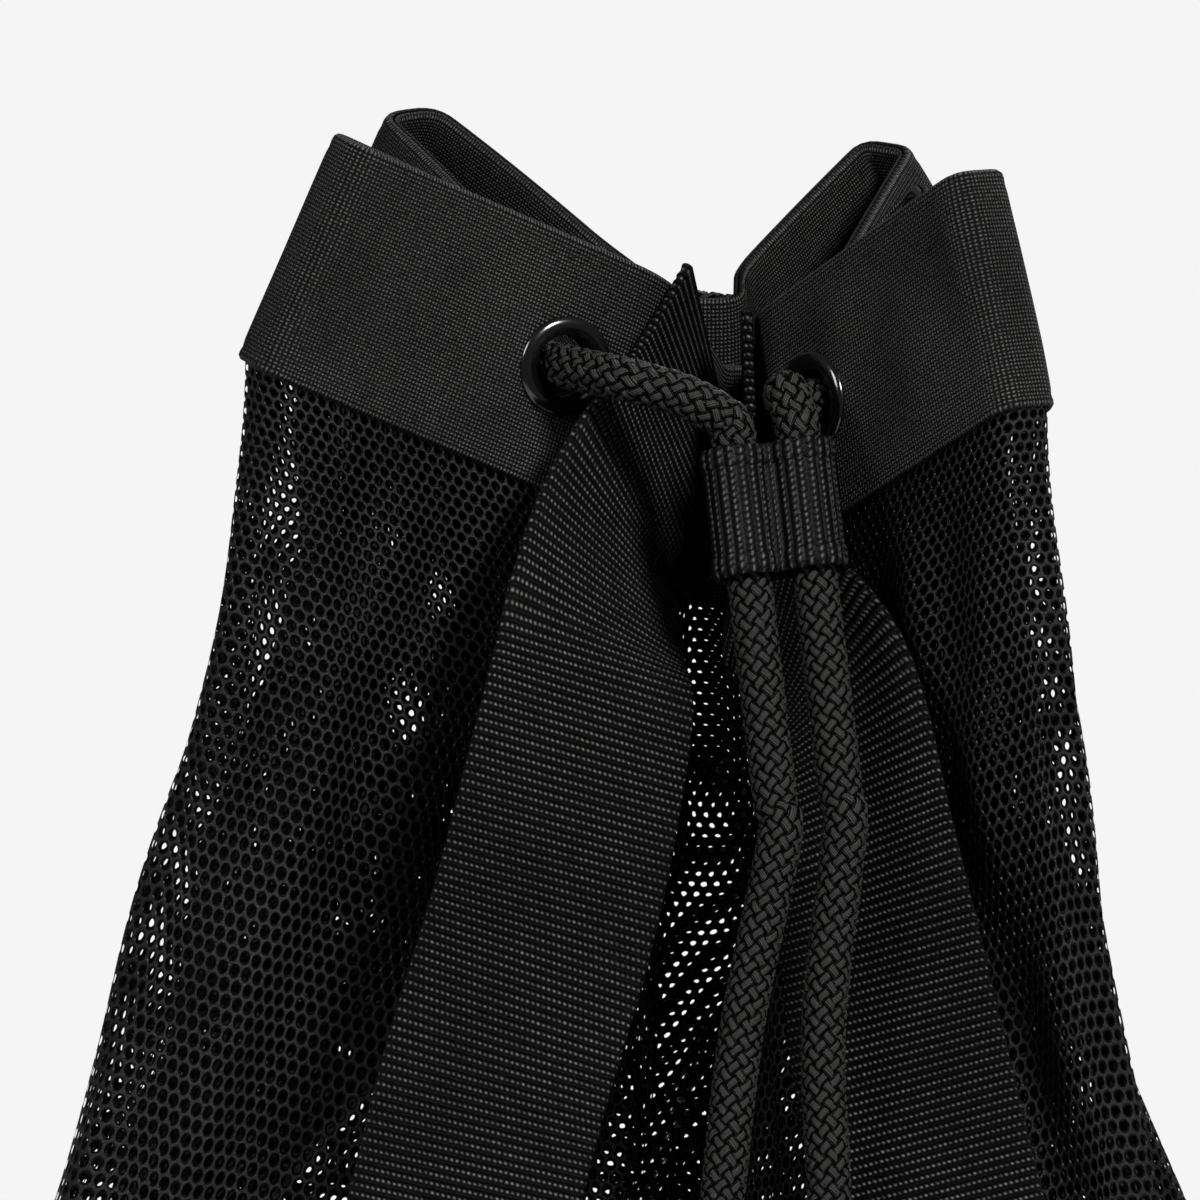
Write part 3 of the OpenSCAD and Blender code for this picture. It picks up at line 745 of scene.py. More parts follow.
loop_points = [tail_at(0, 0), tail_at(0, -3), tail_at(0, -6), [17, -68, mouth_z + 60],
               [6, -66, mouth_z + 63]]
for k in range(1, 9):
    loop_points += through(k, k % 2 == 1)
    if k == 6:
        loop_points.append([83, 3, mouth_z + 58])
loop_points += [[37, -63, mouth_z + 60], tail_at(1, -4), tail_at(1, -2), tail_at(1, 0)]
# Below the straight part each tail hangs over the belly: [x, y, height over the mouth],
# where y leaves out how far the wall has widened there.
hangs = {"left": [[28, -103, -58], [24, -105, -90], [19, -104, -130], [14, -100, -180],
                 [11, -101, -230], [10, -105, -280], [9, -107, -330], [9, -107, -380],
                 [9, -107, -430]],
         "right": [[44, -103, -58], [45, -105, -90], [45, -104, -130], [44, -98, -180],
                   [43, -97, -230], [42, -101, -280], [41, -103, -330], [41, -103, -380],
                   [41, -103, -412]]}
straight_rows = (0, straight_to / 2, straight_to, straight_to + 8)
tail_points = {}
for side, name in enumerate(("left", "right")):
    tail_points[name] = [tail_at(side, s) for s in straight_rows]
    tail_points[name] += [[x, y - wall_growth(h), mouth_z + h] for x, y, h in hangs[name]]

# %% The loop and the two tails
loop_line = smooth_route(loop_points, 2.0)
add_piece("drawcord", braided("drawcord", loop_line), cord_finish,
          replaces=["drawcord_loop"])
tail_lines = {side: smooth_route(points, 2.0) for side, points in tail_points.items()}
for side, line in tail_lines.items():
    add_piece(f"tail_{side}", braided(f"tail_{side}", line), cord_finish,
              replaces=[f"cord_tail_{side}"])
    print(f"the {side} tail is {line_length(line):.0f} mm long")

# %% [markdown]
# Each tail ends in a stopper knot, pulled tight: the cord winds nearly twice round itself and
# its melted end comes out below.

# %% Knots
knot_h = 26.0


def knot_line(top):
    t = np.linspace(0, 1, 60)
    reach = 5.6 * np.sin(np.pi * t) ** 0.4
    angle = 2 * np.pi * 1.75 * t
    turns = np.stack([reach * np.cos(angle), reach * np.sin(angle), -3 - 18 * t], 1)
    return np.array(top) + np.concatenate([[[0, 0, -0.5]], turns, [[0, 0, -knot_h + 0.6]]])


for side, line in tail_lines.items():
    knot = braided(f"knot_{side}", even_steps(knot_line(line[-1]), 1.5), 4.3, 0.8, 40)
    add_piece(f"knot_{side}", knot, cord_finish, replaces=[f"cord_knot_{side}"])

# %% [markdown]
# ## Webbing
# Shoulder webbing is woven with ribs across its width, just under 2 mm apart. The strap is a strip
# of rounded cross-section that follows its route, and a small Geometry Nodes tree raises the
# ribs on it, so that they show at the edges and catch the light when the strap bends.

# %% Geometry Nodes: ribs
def rib_tree():
    tree, come, go = new_tree("ribs", {
        "Pitch": ("Float", 0.002), "Depth": ("Float", 0.0003), "Material": ("Material", None)})
    run = put(tree, "GeometryNodeInputNamedAttribute", "run", data_type="FLOAT").outputs[0]
    wave = hump(tree, calc(tree, "DIVIDE", run, come.outputs["Pitch"]))
    lift = calc(tree, "MULTIPLY", calc(tree, "SUBTRACT", wave, 1.0), come.outputs["Depth"])
    outwards = put(tree, "GeometryNodeInputNormal").outputs[0]
    moved = put(tree, "ShaderNodeVectorMath", outwards, operation="SCALE")
    tree.links.new(lift, moved.inputs["Scale"])
    shaped = put(tree, "GeometryNodeSetPosition", come.outputs["Geometry"], None, None,
                 moved.outputs[0])
    real = put(tree, "GeometryNodeRealizeInstances", shaped.outputs[0])
    painted = put(tree, "GeometryNodeSetMaterial", real.outputs[0])
    tree.links.new(come.outputs["Material"], painted.inputs["Material"])
    tree.links.new(painted.outputs[0], go.inputs[0])
    return tree


ribs = rib_tree()


def strip(name, line, wide, width=strap_w, thick=strap_t, pitch=rib_pitch, depth=0.35,
          finish=web_finish):
    """Webbing along a line, with the directions of its width."""
    line, wide = np.asarray(line), np.asarray(wide)
    ahead = unit(np.gradient(line, axis=0))
    wide = unit(wide - ahead * (wide * ahead).sum(1, keepdims=True))
    face = np.cross(wide, ahead)
    across = np.linspace(-1, 1, 9)
    half_w, half_t = width / 2, thick / 2
    edge = half_w - half_t
    top = [(a * edge, half_t) for a in across]
    shoulder = half_w - 0.25 * half_t
    tips = [(shoulder, 0.6 * half_t), (half_w, 0), (shoulder, -0.6 * half_t)]
    low = [(a * edge, -half_t) for a in across[::-1]]
    outline = np.array(top + tips + low + [(-a, -b) for a, b in tips])
    points = line[:, None] + wide[:, None] * outline[:, :1] + face[:, None] * outline[:, 1:]
    at = np.concatenate([[0], np.cumsum(np.linalg.norm(np.diff(line, axis=0), axis=1))])
    girth = np.concatenate([[0], np.cumsum(np.linalg.norm(
        np.diff(np.concatenate([outline, outline[:1]]), axis=0), axis=1))])
    u, v = np.meshgrid(girth * MM, at * MM)
    run = np.repeat(at * MM, len(outline))
    mesh = grid_mesh(name, points, np.stack([u, v], -1), wrap=True, caps=True, flip=True,
                     marks={"run": run})
    mesh = run_nodes(mesh, ribs, Pitch=pitch * MM, Depth=depth * MM, Material=finish)
    mesh.name = name
    return mesh


# %% [markdown]
# Each strap is sewn flat on one side of the collar's front valley, comes out over the belly
# and runs down to the ring at the base. It turns round the ring's upper bar and comes back up
# behind itself to the slider, where its end is sewn round the slider's bar.

# %% Strap routes
slider_bar_y = return_y + strap_t / 2 + 2.3
turn_y = (main_y + return_y) / 2
turn_z = ring_z + 14
lower_z = turn_z + 26
# Rows of [x, y, height over the mouth, direction of the width] for each strap's upper run,
# where x and y leave out how far the wall has widened there.
left_top = [[12, -38, 47, 0.38, 0.78, -0.48], [4, -57, 34, 0.52, 0.74, -0.42],
            [0, -76, 18, 0.74, 0.6, -0.3], [-2, -88, 2, 0.9, 0.35, -0.26],
            [-9, -104, -35, 0.94, 0.1, -0.24], [-15, -113, -70, 0.95, 0, -0.25],
            [-18, -113, -130, 0.94, -0.1, -0.28], [-29, -109, -190, 0.93, -0.25, -0.25],
            [-45, -101, -240, 0.87, -0.45, -0.15]]
right_top = [[29, -33, 26, 0.12, -0.88, 0.42], [32, -47, 17, 0.38, -0.84, 0.36],
             [46, -68, 0, 0.65, -0.66, 0.36], [51, -85, -30, 0.8, -0.55, 0.3],
             [53, -97, -70, 0.9, -0.25, 0.25], [54, -107, -130, 0.92, 0.1, 0.2],
             [55, -104, -190, 0.9, 0.3, 0.14], [60, -98, -240, 0.85, 0.45, 0.08]]


def valley_side(side, s, h):
    """A place beside the front valley's flank, s from its corner and h up the collar."""
    a, b = (folds[2, :5], folds[1, :5]) if side < 0 else (folds[25, :5], folds[0, :5])
    p = a + (b - a) * s / np.linalg.norm((b - a)[:2])
    out = unit(np.cross(rise(p), -side * (foot(a) - foot(b))))
    return foot(p) + rise(p) * h + out * (skin_out + 2 * gap + strap_t / 2)


def on_belly(side, out, z, x=0.0):
    """A point outside the belly beside the lower strap."""
    c, s = math.cos(strap_angle), side * math.sin(strap_angle)
    y = -(belly_r + out)
    return np.array([c * x - s * y, s * x + c * y, z])


def strap_route(side, top):
    """Rows of [place, direction of the width] down to the straight part of the strap."""
    strap_in = strap_w / 2 + 1
    flat = np.array([math.cos(strap_angle), side * math.sin(strap_angle), 0])
    sewn_h = collar_h - 2
    wide = valley_side(side, strap_in - 10, sewn_h) - valley_side(side, strap_in + 10, sewn_h)
    rows = [[*valley_side(side, strap_in, sewn_h), *(side * unit(wide))]]
    for x, y, h, *wide in top:
        out = wall_growth(h) * np.array([side * math.sin(strap_angle), -math.cos(strap_angle)])
        rows.append([x + out[0], y + out[1], h + mouth_z, *wide])
    rows += [[*on_belly(side, main_y, z), *flat]
             for z in (slider_z + 95, slider_z + 45, slider_z, lower_z)]
    line = smooth_route(rows, 0.4)
    turn = np.linspace(0, np.pi, 30)
    reach = (main_y - return_y) / 2
    bend = [on_belly(side, turn_y + reach * math.cos(a), turn_z - reach * math.sin(a))
            for a in turn]
    low = np.concatenate([line[-1:, :3], bend])
    low = np.concatenate([low, np.tile(flat, (len(low), 1))], 1)
    return even_steps(np.concatenate([line, low[1:]]), 0.38)


strap_lines = {}
for side, name, top in ((-1, "left", left_top), (1, "right", right_top)):
    route = strap_route(side, top)
    strap_lines[name] = route
    add_piece(f"strap_{name}", strip(f"strap_{name}", route[:, :3], route[:, 3:]), web_finish,
              replaces=[f"shoulder_strap_{name}"])
    print(f"the {name} strap is {line_length(route):.0f} mm down to its turn")

# %% Returned ends and base tabs
def side_path(side, path, step=0.4):
    """Webbing that follows a side view, given as (distance outside the belly, height)."""
    line = even_steps(np.array([on_belly(side, y, z) for y, z in path]), step)
    flat = np.array([math.cos(strap_angle), side * math.sin(strap_angle), 0])
    return line, np.tile(flat, (len(line), 1))


def arc(y, z, reach, start, end, steps=20):
    """Points of a bend in the side view, angles in degrees."""
    return [(y + reach * math.cos(math.radians(a)), z + reach * math.sin(math.radians(a)))
            for a in np.linspace(start, end, steps)]


loop_reach = 2.3 + strap_t / 2
return_path = [(return_y, turn_z), (return_y, slider_z)]
return_path += arc(slider_bar_y, slider_z, loop_reach, 175, 5)
return_path += [(slider_bar_y + loop_reach, slider_z - 3), (slider_bar_y + 1.6, slider_z - 7),
                (return_y + strap_t + 0.15, slider_z - 11), (return_y + strap_t, slider_z - 24)]
tab_steps = np.array([9.0, 24.0, 42.0])
tab_inner = [(base_r + 4 + gap + strap_t - belly_r, 2.6)]
tab_inner += [(float(sack_r(np.array(z)) - belly_r) + clear, z)
              for z, clear in zip(tab_steps, (4.5, 4.5, 7))]


def tab_path():
    """Up the inner layer, round the ring's lower bar and down the outer layer."""
    inner = [(y - 0.9, z) for y, z in tab_inner] + [(turn_y - 2.2, ring_z - 4)]
    outer = [(y + 0.95, z) for y, z in tab_inner[::-1]]
    return inner + arc(turn_y, ring_z, loop_reach, 200, -20) + [(turn_y + 1.2, ring_z - 5)] + outer


for side, name in ((-1, "left"), (1, "right")):
    line, wide = side_path(side, return_path)
    add_piece(f"return_{name}", strip(f"return_{name}", line, wide), web_finish,
              replaces=[f"strap_return_{name}"])
    line, wide = side_path(side, tab_path())
    add_piece(f"tab_{name}", strip(f"tab_{name}", line, wide), web_finish,
              replaces=[f"strap_anchor_{name}"])
    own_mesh(pieces[f"return_{name}"])

# %% [markdown]
# ## Net sack
# The sack is two panels of knitted net, sewn together at the sides. Modelling every hole would
# take millions of faces, so the panels are smooth folded cloth and the holes are cut by the
# material, on a UV map that follows the cloth. The folds under the collar are real: they come
# from the gathered line, fade out towards the belly, and carry smaller pleats of their own.

# %% Pleats and slow waves in the net
dice = np.random.default_rng(11)
pleat_phase = dice.uniform(0, 2 * np.pi, 12)
pleat_wave = dice.uniform(14, 34, 12)
pleat_tilt = dice.uniform(-0.10, 0.10, 12)
slow_phase = dice.uniform(0, 2 * np.pi, (10, 2))
slow_count = dice.integers(2, 9, 10)


def pleats(s, z):
    """How far the net stands out of its smooth shape, in mm."""
    depth = mouth_z - z
    near_top = smoothstep(depth / 45) * (1 - smoothstep((depth - 90) / 190))
    total = np.zeros(np.broadcast(s, z).shape)
    for phase, wave, tilt in zip(pleat_phase, pleat_wave, pleat_tilt):
        count = round(line_len / wave)
        total = total + np.sin(2 * np.pi * count * s / line_len + phase + tilt * depth)
    waves = np.zeros_like(total)
    for (p, q), count in zip(slow_phase, slow_count):
        waves = waves + np.sin(count * 2 * np.pi * s / line_len + p) * np.sin(z / 55 + q)
    belly = smoothstep(depth / 160) * smoothstep((z - 15) / 60)
    return 0.62 * total * near_top + 0.8 * waves * belly


# %% The two net panels
covers = []
for name in ("strap_left", "strap_right", "tail_left", "tail_right"):
    mesh = pieces[name].data
    covers.append(BVHTree.FromPolygons([v.co.copy() for v in mesh.vertices],
                                       [tuple(p.vertices) for p in mesh.polygons]))


def keep_under(points, sides, reach=7.0, clear=1.3):
    """Moves net that would stand through a strap or a cord back under it."""
    moved = 0
    flat_points, flat_sides = points.reshape(-1, 3), sides.reshape(-1, 3)
    for k in range(len(flat_points)):
        side = Vector(flat_sides[k])
        start = (Vector(flat_points[k]) - side * reach) * MM
        for cover in covers:
            hit = cover.ray_cast(start, side, (reach + clear) * MM)
            if hit[0] is not None:
                flat_points[k] = np.array(start + side * max(hit[3] - clear * MM, 0)) / MM
                moved += 1
    return moved


seam_s = {"left": plan_at[corner_starts[6]], "right": plan_at[corner_starts[21]]}
net_levels = np.concatenate([mouth_z - np.concatenate([[1, 4, 8], np.arange(12, 262, 4)]),
                             np.arange(mouth_z - 268, base_curve, -7),
                             [80, 70, 60, 50, 42, 34, 27, 20, 14, 9, binding_h + gap]])


def net_panel(name, start, end, node):
    s = np.linspace(start, end, int(round((end - start) / 3.0)))
    hem_rows = [on_collar(s, np.full(len(s), h), np.zeros(len(s))) for h in (hem_h, 4.0, 0.5)]
    grid_s, grid_z = np.meshgrid(s, net_levels)
    sides = wall_side(grid_s, grid_z)
    wall = wall_point(grid_s, grid_z) + sides * pleats(grid_s, grid_z)[..., None]
    moved = keep_under(wall, sides)
    points = np.concatenate([np.array(hem_rows), wall])
    down = np.concatenate([[mouth_z + h for h in (hem_h, 4.0, 0.5)], net_levels])
    u, v = np.meshgrid(cloth_at(s) * MM, down * MM)
    mesh = grid_mesh(name, points, np.stack([u, v], -1), flip=False)
    panel = add_piece(name, mesh, net_finish, replaces=[node])
    print(name, moved, "points kept under the straps and cords")
    return panel


front_net = net_panel("net_front", seam_s["right"], seam_s["left"] + line_len, "mesh_front")
back_net = net_panel("net_back", seam_s["left"], seam_s["right"], "mesh_back")
for panel in (front_net, back_net):
    thick = panel.modifiers.new("thickness", "SOLIDIFY")
    thick.thickness = 0.6 * MM
    thick.offset = 0.0

# %% [markdown]
# ## Collar
# The collar is one band of woven polyester folded double over the net's hem, and stitched
# along its top. Its two faces are separate pieces here. Each is a fine grid with small waves
# in the cloth, its top and bottom edges turned in, and its faces left out where the eyelets'
# barrels pass; the flanges cover those edges.

# %% Collar cloth
crease_phase = dice.uniform(0, 2 * np.pi, 14)
crease_wave = dice.uniform(18, 60, 14)
crease_tilt = dice.uniform(-0.08, 0.08, 14)
stitch_in = 2.2


def creases(s, h):
    """Small waves of the collar cloth, in mm."""
    total = np.zeros(np.broadcast(s, h).shape)
    for phase, wave, tilt in zip(crease_phase, crease_wave, crease_tilt):
        count = round(line_len / wave)
        total = total + np.sin(2 * np.pi * count * s / line_len + phase + tilt * h)
    edge = np.minimum(h, collar_h - h)
    return 0.16 * total * smoothstep(edge / 14)


def collar_side(name, facing, node):
    """One face of the collar: facing is 1 outside and -1 inside."""
    s = np.linspace(0, line_len, int(line_len / 1.6) + 1)[:-1]
    h = np.concatenate([[0.25, 0.0, 0.3, 1.0], np.arange(2.0, collar_h - 1.5, 1.6),
                        [collar_h - 1.2, collar_h - 0.5, collar_h - 0.1, collar_h]])
    body = flat_r + gap + collar_t / 2
    out = np.full(len(h), body)
    out[:4] = [body - 0.55, body - 0.3, body - 0.05, body]
    out[-3:] = [body - 0.15, body - 0.55, 0.15]
    seam = np.minimum(abs(h - stitch_in), abs(h - collar_h + stitch_in))
    out = out - 0.22 * np.exp(-(seam / 0.9) ** 2)
    grid_s, grid_h = np.meshgrid(s, h)
    lift = facing * out[:, None] + creases(grid_s, grid_h)
    points = on_collar(grid_s, grid_h, lift)
    beside = np.roll(points, -1, 1)
    centres = (points[:-1] + beside[:-1] + points[1:] + beside[1:]) / 4
    keep = np.ones(centres.shape[:2], bool)
    for k in range(1, 9):
        keep &= np.linalg.norm(centres - eyelet_place(k)[0], axis=-1) > eyelet_hole_r + 1.4
    u, v = np.meshgrid(np.append(cloth_at(s), true_at[-1]) * MM, h * MM)
    mesh = grid_mesh(name, points, np.stack([u, v], -1), wrap=True, flip=facing < 0, keep=keep)
    piece = add_piece(name, mesh, collar_finish, replaces=[node])
    thick = piece.modifiers.new("thickness", "SOLIDIFY")
    thick.thickness = 0.5 * MM
    thick.offset = -1.0
    return piece


collar_front = collar_side("collar_face", 1, "collar_outer")
collar_back = collar_side("collar_inside", -1, "collar_lining")

# %% [markdown]
# ## Stitches
# A stitch is a short thread that dives into the cloth at both ends. A Geometry Nodes tree walks
# along a line and places one small rounded stitch at every step, turned to follow the line. The
# same tree sews the collar, the keeper, the base and the side tapes.

# %% Geometry Nodes: a row of stitches
def stitch_tree():
    tree, come, go = new_tree("stitches", {
        "Pitch": ("Float", 0.003), "Length": ("Float", 0.0012), "Radius": ("Float", 0.0003),
        "Material": ("Material", None)})
    line = put(tree, "GeometryNodeMeshToCurve", come.outputs["Geometry"])
    even = put(tree, "GeometryNodeResampleCurve", line.outputs[0], mode="LENGTH")
    tree.links.new(come.outputs["Pitch"], even.inputs["Length"])
    ball = put(tree, "GeometryNodeMeshUVSphere", 6, 6, 1.0)
    size = put(tree, "ShaderNodeCombineXYZ", come.outputs["Length"], come.outputs["Radius"],
               come.outputs["Radius"])
    shaped = put(tree, "GeometryNodeTransform", ball.outputs[0])
    tree.links.new(size.outputs[0], shaped.inputs["Scale"])
    ahead = put(tree, "GeometryNodeInputTangent")
    turned = put(tree, "FunctionNodeAlignRotationToVector", None, None, ahead.outputs[0], axis="X")
    sewn = put(tree, "GeometryNodeInstanceOnPoints", even.outputs[0], None, shaped.outputs[0])
    tree.links.new(turned.outputs[0], sewn.inputs["Rotation"])
    real = put(tree, "GeometryNodeRealizeInstances", sewn.outputs[0])
    painted = put(tree, "GeometryNodeSetMaterial", real.outputs[0])
    tree.links.new(come.outputs["Material"], painted.inputs["Material"])
    tree.links.new(painted.outputs[0], go.inputs[0])
    return tree


stitcher = stitch_tree()


def sew(name, lines, body="sack", pitch=3.0, length=1.25, radius=0.3):
    """Stitches along lines of (points in mm, closed)."""
    mesh = run_nodes(line_mesh(name, lines), stitcher, Pitch=pitch * MM, Length=length * MM,
                     Radius=radius * MM, Material=thread_finish)
    mesh.name = name
    mesh.polygons.foreach_set("use_smooth", [True] * len(mesh.polygons))
    return add_piece(name, mesh, thread_finish, body=body)


round_s = np.linspace(0, line_len, 600)[:-1]
face_out = flat_r + gap + collar_t / 2 - 0.1
collar_seams = []
for h in (collar_h - stitch_in, stitch_in):
    for facing in (1, -1):
        level = np.full(len(round_s), h)
        out = facing * face_out + creases(round_s, level)
        collar_seams.append((on_collar(round_s, level, out), True))
sew("collar_stitches", collar_seams)

# %% [markdown]
# ## Eyelets
# Each eyelet is pressed from brass and enamelled black: a rolled flange outside, a barrel
# through the cloth and a flat washer inside, which the barrel's end is flared over. One is
# turned from its cross-section, and a Geometry Nodes tree sets it at all eight places.

# %% Eyelets and washers
def lathe(name, outline, steps=64):
    """A closed outline of (radius, height) in mm, turned round the Z axis."""
    outline = np.array(outline)
    angle = np.linspace(0, 2 * np.pi, steps, endpoint=False)
    ring = np.stack([np.cos(angle), np.sin(angle)], -1)
    points = np.concatenate([outline[:, None, :1] * ring[None], np.repeat(
        outline[:, None, 1:], steps, 1)], -1)
    points = np.concatenate([points, points[:1]])
    around = np.linspace(0, 1, steps + 1) * 2 * np.pi * outline[:, 0].mean() * MM
    along = np.concatenate([[0], np.cumsum(np.linalg.norm(
        np.diff(np.concatenate([outline, outline[:1]]), axis=0), axis=1))]) * MM
    u, v = np.meshgrid(around, along)
    mesh = grid_mesh(name, points, np.stack([u, v], -1), wrap=True)
    work = bmesh.new()
    work.from_mesh(mesh)
    bmesh.ops.remove_doubles(work, verts=work.verts, dist=1e-6)
    bmesh.ops.recalc_face_normals(work, faces=work.faces)
    work.to_mesh(mesh)
    work.free()
    mesh.polygons.foreach_set("use_smooth", [True] * len(mesh.polygons))
    return mesh


def placing_tree():
    tree, come, go = new_tree("placing", {"Part": ("Object", None), "Material": ("Material", None)})
    facing = put(tree, "GeometryNodeInputNamedAttribute", "facing", data_type="FLOAT_VECTOR")
    turned = put(tree, "FunctionNodeAlignRotationToVector", None, None, facing.outputs[0], axis="Z")
    part = put(tree, "GeometryNodeObjectInfo", come.outputs["Part"], transform_space="ORIGINAL")
    placed = put(tree, "GeometryNodeInstanceOnPoints", come.outputs["Geometry"], None,
                 part.outputs["Geometry"])
    tree.links.new(turned.outputs[0], placed.inputs["Rotation"])
    real = put(tree, "GeometryNodeRealizeInstances", placed.outputs[0])
    painted = put(tree, "GeometryNodeSetMaterial", real.outputs[0])
    tree.links.new(come.outputs["Material"], painted.inputs["Material"])
    tree.links.new(painted.outputs[0], go.inputs[0])
    return tree


placer = placing_tree()


def place_all(name, pattern, places, material, nodes):
    """Sets a copy of the pattern at each (centre, facing)."""
    mesh = bpy.data.meshes.new(name)
    mesh.from_pydata([(np.array(c) * MM).tolist() for c, _ in places], [], [])
    facing = mesh.attributes.new("facing", "FLOAT_VECTOR", "POINT")
    facing.data.foreach_set("vector", np.array([f for _, f in places], np.float32).ravel())
    holder = bpy.data.objects.new("pattern", pattern)
    bpy.context.scene.collection.objects.link(holder)
    result = run_nodes(mesh, placer, Part=holder, Material=material)
    bpy.data.objects.remove(holder)
    result.name = name
    return add_piece(name, result, material, replaces=nodes)


flange = [(eyelet_hole_r, -skin_out - 1.0), (eyelet_hole_r - 0.1, 0),
          (eyelet_hole_r, skin_out + 0.6)]
flange += [(8.1 + 1.9 * math.cos(a), skin_out + 0.35 + 1.15 * math.sin(a))
           for a in np.linspace(math.radians(165), 0, 14)]
flange += [(eyelet_r - 0.1, skin_out - 0.1), (eyelet_r - 1.0, skin_out + 0.1),
           (eyelet_hole_r + 0.5, skin_out), (eyelet_hole_r + 0.5, -skin_out - 0.9)]
washer = [(eyelet_hole_r + 0.6, -skin_out - 0.2), (eyelet_r - 0.3, -skin_out - 0.2),
          (eyelet_r, -skin_out - 0.5), (eyelet_r - 0.4, -skin_out - 0.9),
          (eyelet_hole_r + 1.2, -skin_out - 1.2), (eyelet_hole_r - 0.1, -skin_out - 1.4),
          (eyelet_hole_r, -skin_out - 0.9)]
places = [eyelet_place(k) for k in range(1, 9)]
place_all("eyelets", lathe("eyelet", flange), places, enamel_finish,
          [f"eyelet_{k}" for k in range(1, 9)])
place_all("washers", lathe("washer", washer), places, enamel_finish,
          [f"washer_{k}" for k in range(1, 9)])

# %% [markdown]
# ## Keeper
# The keeper is a short piece of webbing folded round both tails and sewn together between
# them, so it is two soft tubes side by side. Its ribs run along the cords, and its two ends
# are turned over and stitched.

# %% Keeper
def keeper_outline(count=132):
    """Points round the sleeve in plan, pinched between the two cords."""
    reach = cord_r + gap + keeper_t / 2
    half = tail_gap / 2
    x = (half + reach) * -np.cos(np.linspace(0, np.pi, 240))
    tube = np.sqrt(np.maximum(reach ** 2 - (abs(x) - half) ** 2, 0))
    y = np.maximum(tube, 2.3 + 0.07 * x ** 2 * (abs(x) < half))
    upper = np.stack([x, y * (abs(x) < half + reach - 1e-6)], 1)
    ring = np.concatenate([upper, (upper * [1, -1])[::-1][1:-1]])
    return even_steps(np.concatenate([ring, ring[:1]]), line_length(
        np.concatenate([ring, ring[:1]]) @ np.array([[1, 0, 0], [0, 1, 0]])) / count)[:-1]


def keeper_piece():
    ring = keeper_outline()
    ring3 = np.concatenate([ring, np.zeros((len(ring), 1))], 1)
    side = unit(np.roll(ring, -1, 0) - np.roll(ring, 1, 0))
    out = np.stack([-side[:, 1], side[:, 0]], 1)
    s = np.linspace(0, keeper_h, 64)
    hem = smoothstep((3.6 - np.minimum(s, keeper_h - s)) / 0.8)
    round_edge = -0.5 * smoothstep((0.7 - np.minimum(s, keeper_h - s)) / 0.7)
    grow = 0.4 * hem + round_edge + keeper_t / 2 - 0.1
    down = keeper_down
    front = np.cross(down, keeper_across)
    flat = ring[None] + out[None] * grow[:, None, None]
    points = (keeper_top + flat[..., :1] * keeper_across + flat[..., 1:] * front
              + s[:, None, None] * down)
    at = np.concatenate([[0], np.cumsum(np.linalg.norm(np.diff(
        np.concatenate([ring3, ring3[:1]]), axis=0), axis=1))])
    v, u = np.meshgrid(at * MM, s * MM)
    run = np.tile(at[:-1] * MM, len(s))
    mesh = grid_mesh("keeper", points, np.stack([u, v], -1), wrap=True, marks={"run": run})
    mesh = run_nodes(mesh, ribs, Pitch=1.7 * MM, Depth=0.3 * MM, Material=keeper_finish)
    mesh.name = "keeper"
    return mesh, front


keeper_mesh, keeper_front = keeper_piece()
keeper = add_piece("keeper", keeper_mesh, keeper_finish, body="keeper",
                   replaces=["cord_keeper"])
thick = keeper.modifiers.new("thickness", "SOLIDIFY")
thick.thickness = (keeper_t - 0.2) * MM
thick.offset = -1.0
seam_lines = []
for facing in (1, -1):
    for x in (-0.8, 0.8):
        spots = [keeper_top + keeper_across * x + keeper_front * facing * 3.2 + keeper_down * s
                 for s in np.linspace(2, keeper_h - 2, 30)]
        seam_lines.append((spots, False))
sew("keeper_stitches", seam_lines, body="keeper", pitch=2.4, length=1.0, radius=0.28)

# %% [markdown]
# ## Base
# The sack stands on a disc of the collar's cloth. A woven tape is folded over the disc's edge
# and the net's end, and stitched round.

# %% Base cloth and binding
def base_cloth():
    """A thick disc of cloth, slightly quilted by the load on it."""
    reach = base_r - 3 - gap
    steps = 128
    angle = np.linspace(0, 2 * np.pi, steps, endpoint=False)
    under = [(r, 0.0) for r in np.linspace(1, reach - 0.5, 24)]
    over = [(r, 1.6) for r in np.linspace(reach - 0.5, 1, 24)]
    outline = np.array(under + [(reach, 0.5), (reach, 1.1)] + over)
    ring = np.stack([np.cos(angle), np.sin(angle)], -1)
    points = np.concatenate([outline[:, None, :1] * ring[None],
                             np.repeat(outline[:, None, 1:], steps, 1)], -1)
    top = points[..., 2] > 1.5
    quilt = 0.5 + 0.5 * np.sin(points[..., 0] / 9) * np.sin(points[..., 1] / 11)
    points[..., 2] -= top * 0.35 * quilt
    uv = np.concatenate([points[..., :2], points[:, :1, :2]], 1) * MM
    return grid_mesh("base_cloth", points, uv, wrap=True, caps=True, flip=False)


add_piece("base_cloth", base_cloth(), collar_finish, replaces=["base_panel"])
edge = [(base_r - 3, 2.4), (base_r - 2.6, 1.2), (base_r - 1.6, 0.3), (base_r + 0.5, 0.0),
        (base_r + 2.6, 0.2), (base_r + 3.7, 1.2), (base_r + 4, 2.5), (base_r + 3.7, 3.8),
        (base_r + 2.6, 4.8), (base_r + 0.5, 5.0), (base_r - 1.6, 4.7), (base_r - 2.6, 3.8)]
add_piece("base_tape", lathe("base_tape", edge, 256), tape_finish,
          replaces=["base_binding"])
turn = np.linspace(0, 2 * np.pi, 400)[:-1]
base_seam = np.stack([(base_r + 0.4) * np.cos(turn), (base_r + 0.4) * np.sin(turn),
                      np.full(len(turn), 5.0)], 1)
sew("base_stitches", [(base_seam, True)])

# %% [markdown]
# ## Side tapes
# The panels' side seams are covered by narrow tapes, from the collar down to the base. They
# lie on the net, so they take the same shape and the same pleats, only a little further out.

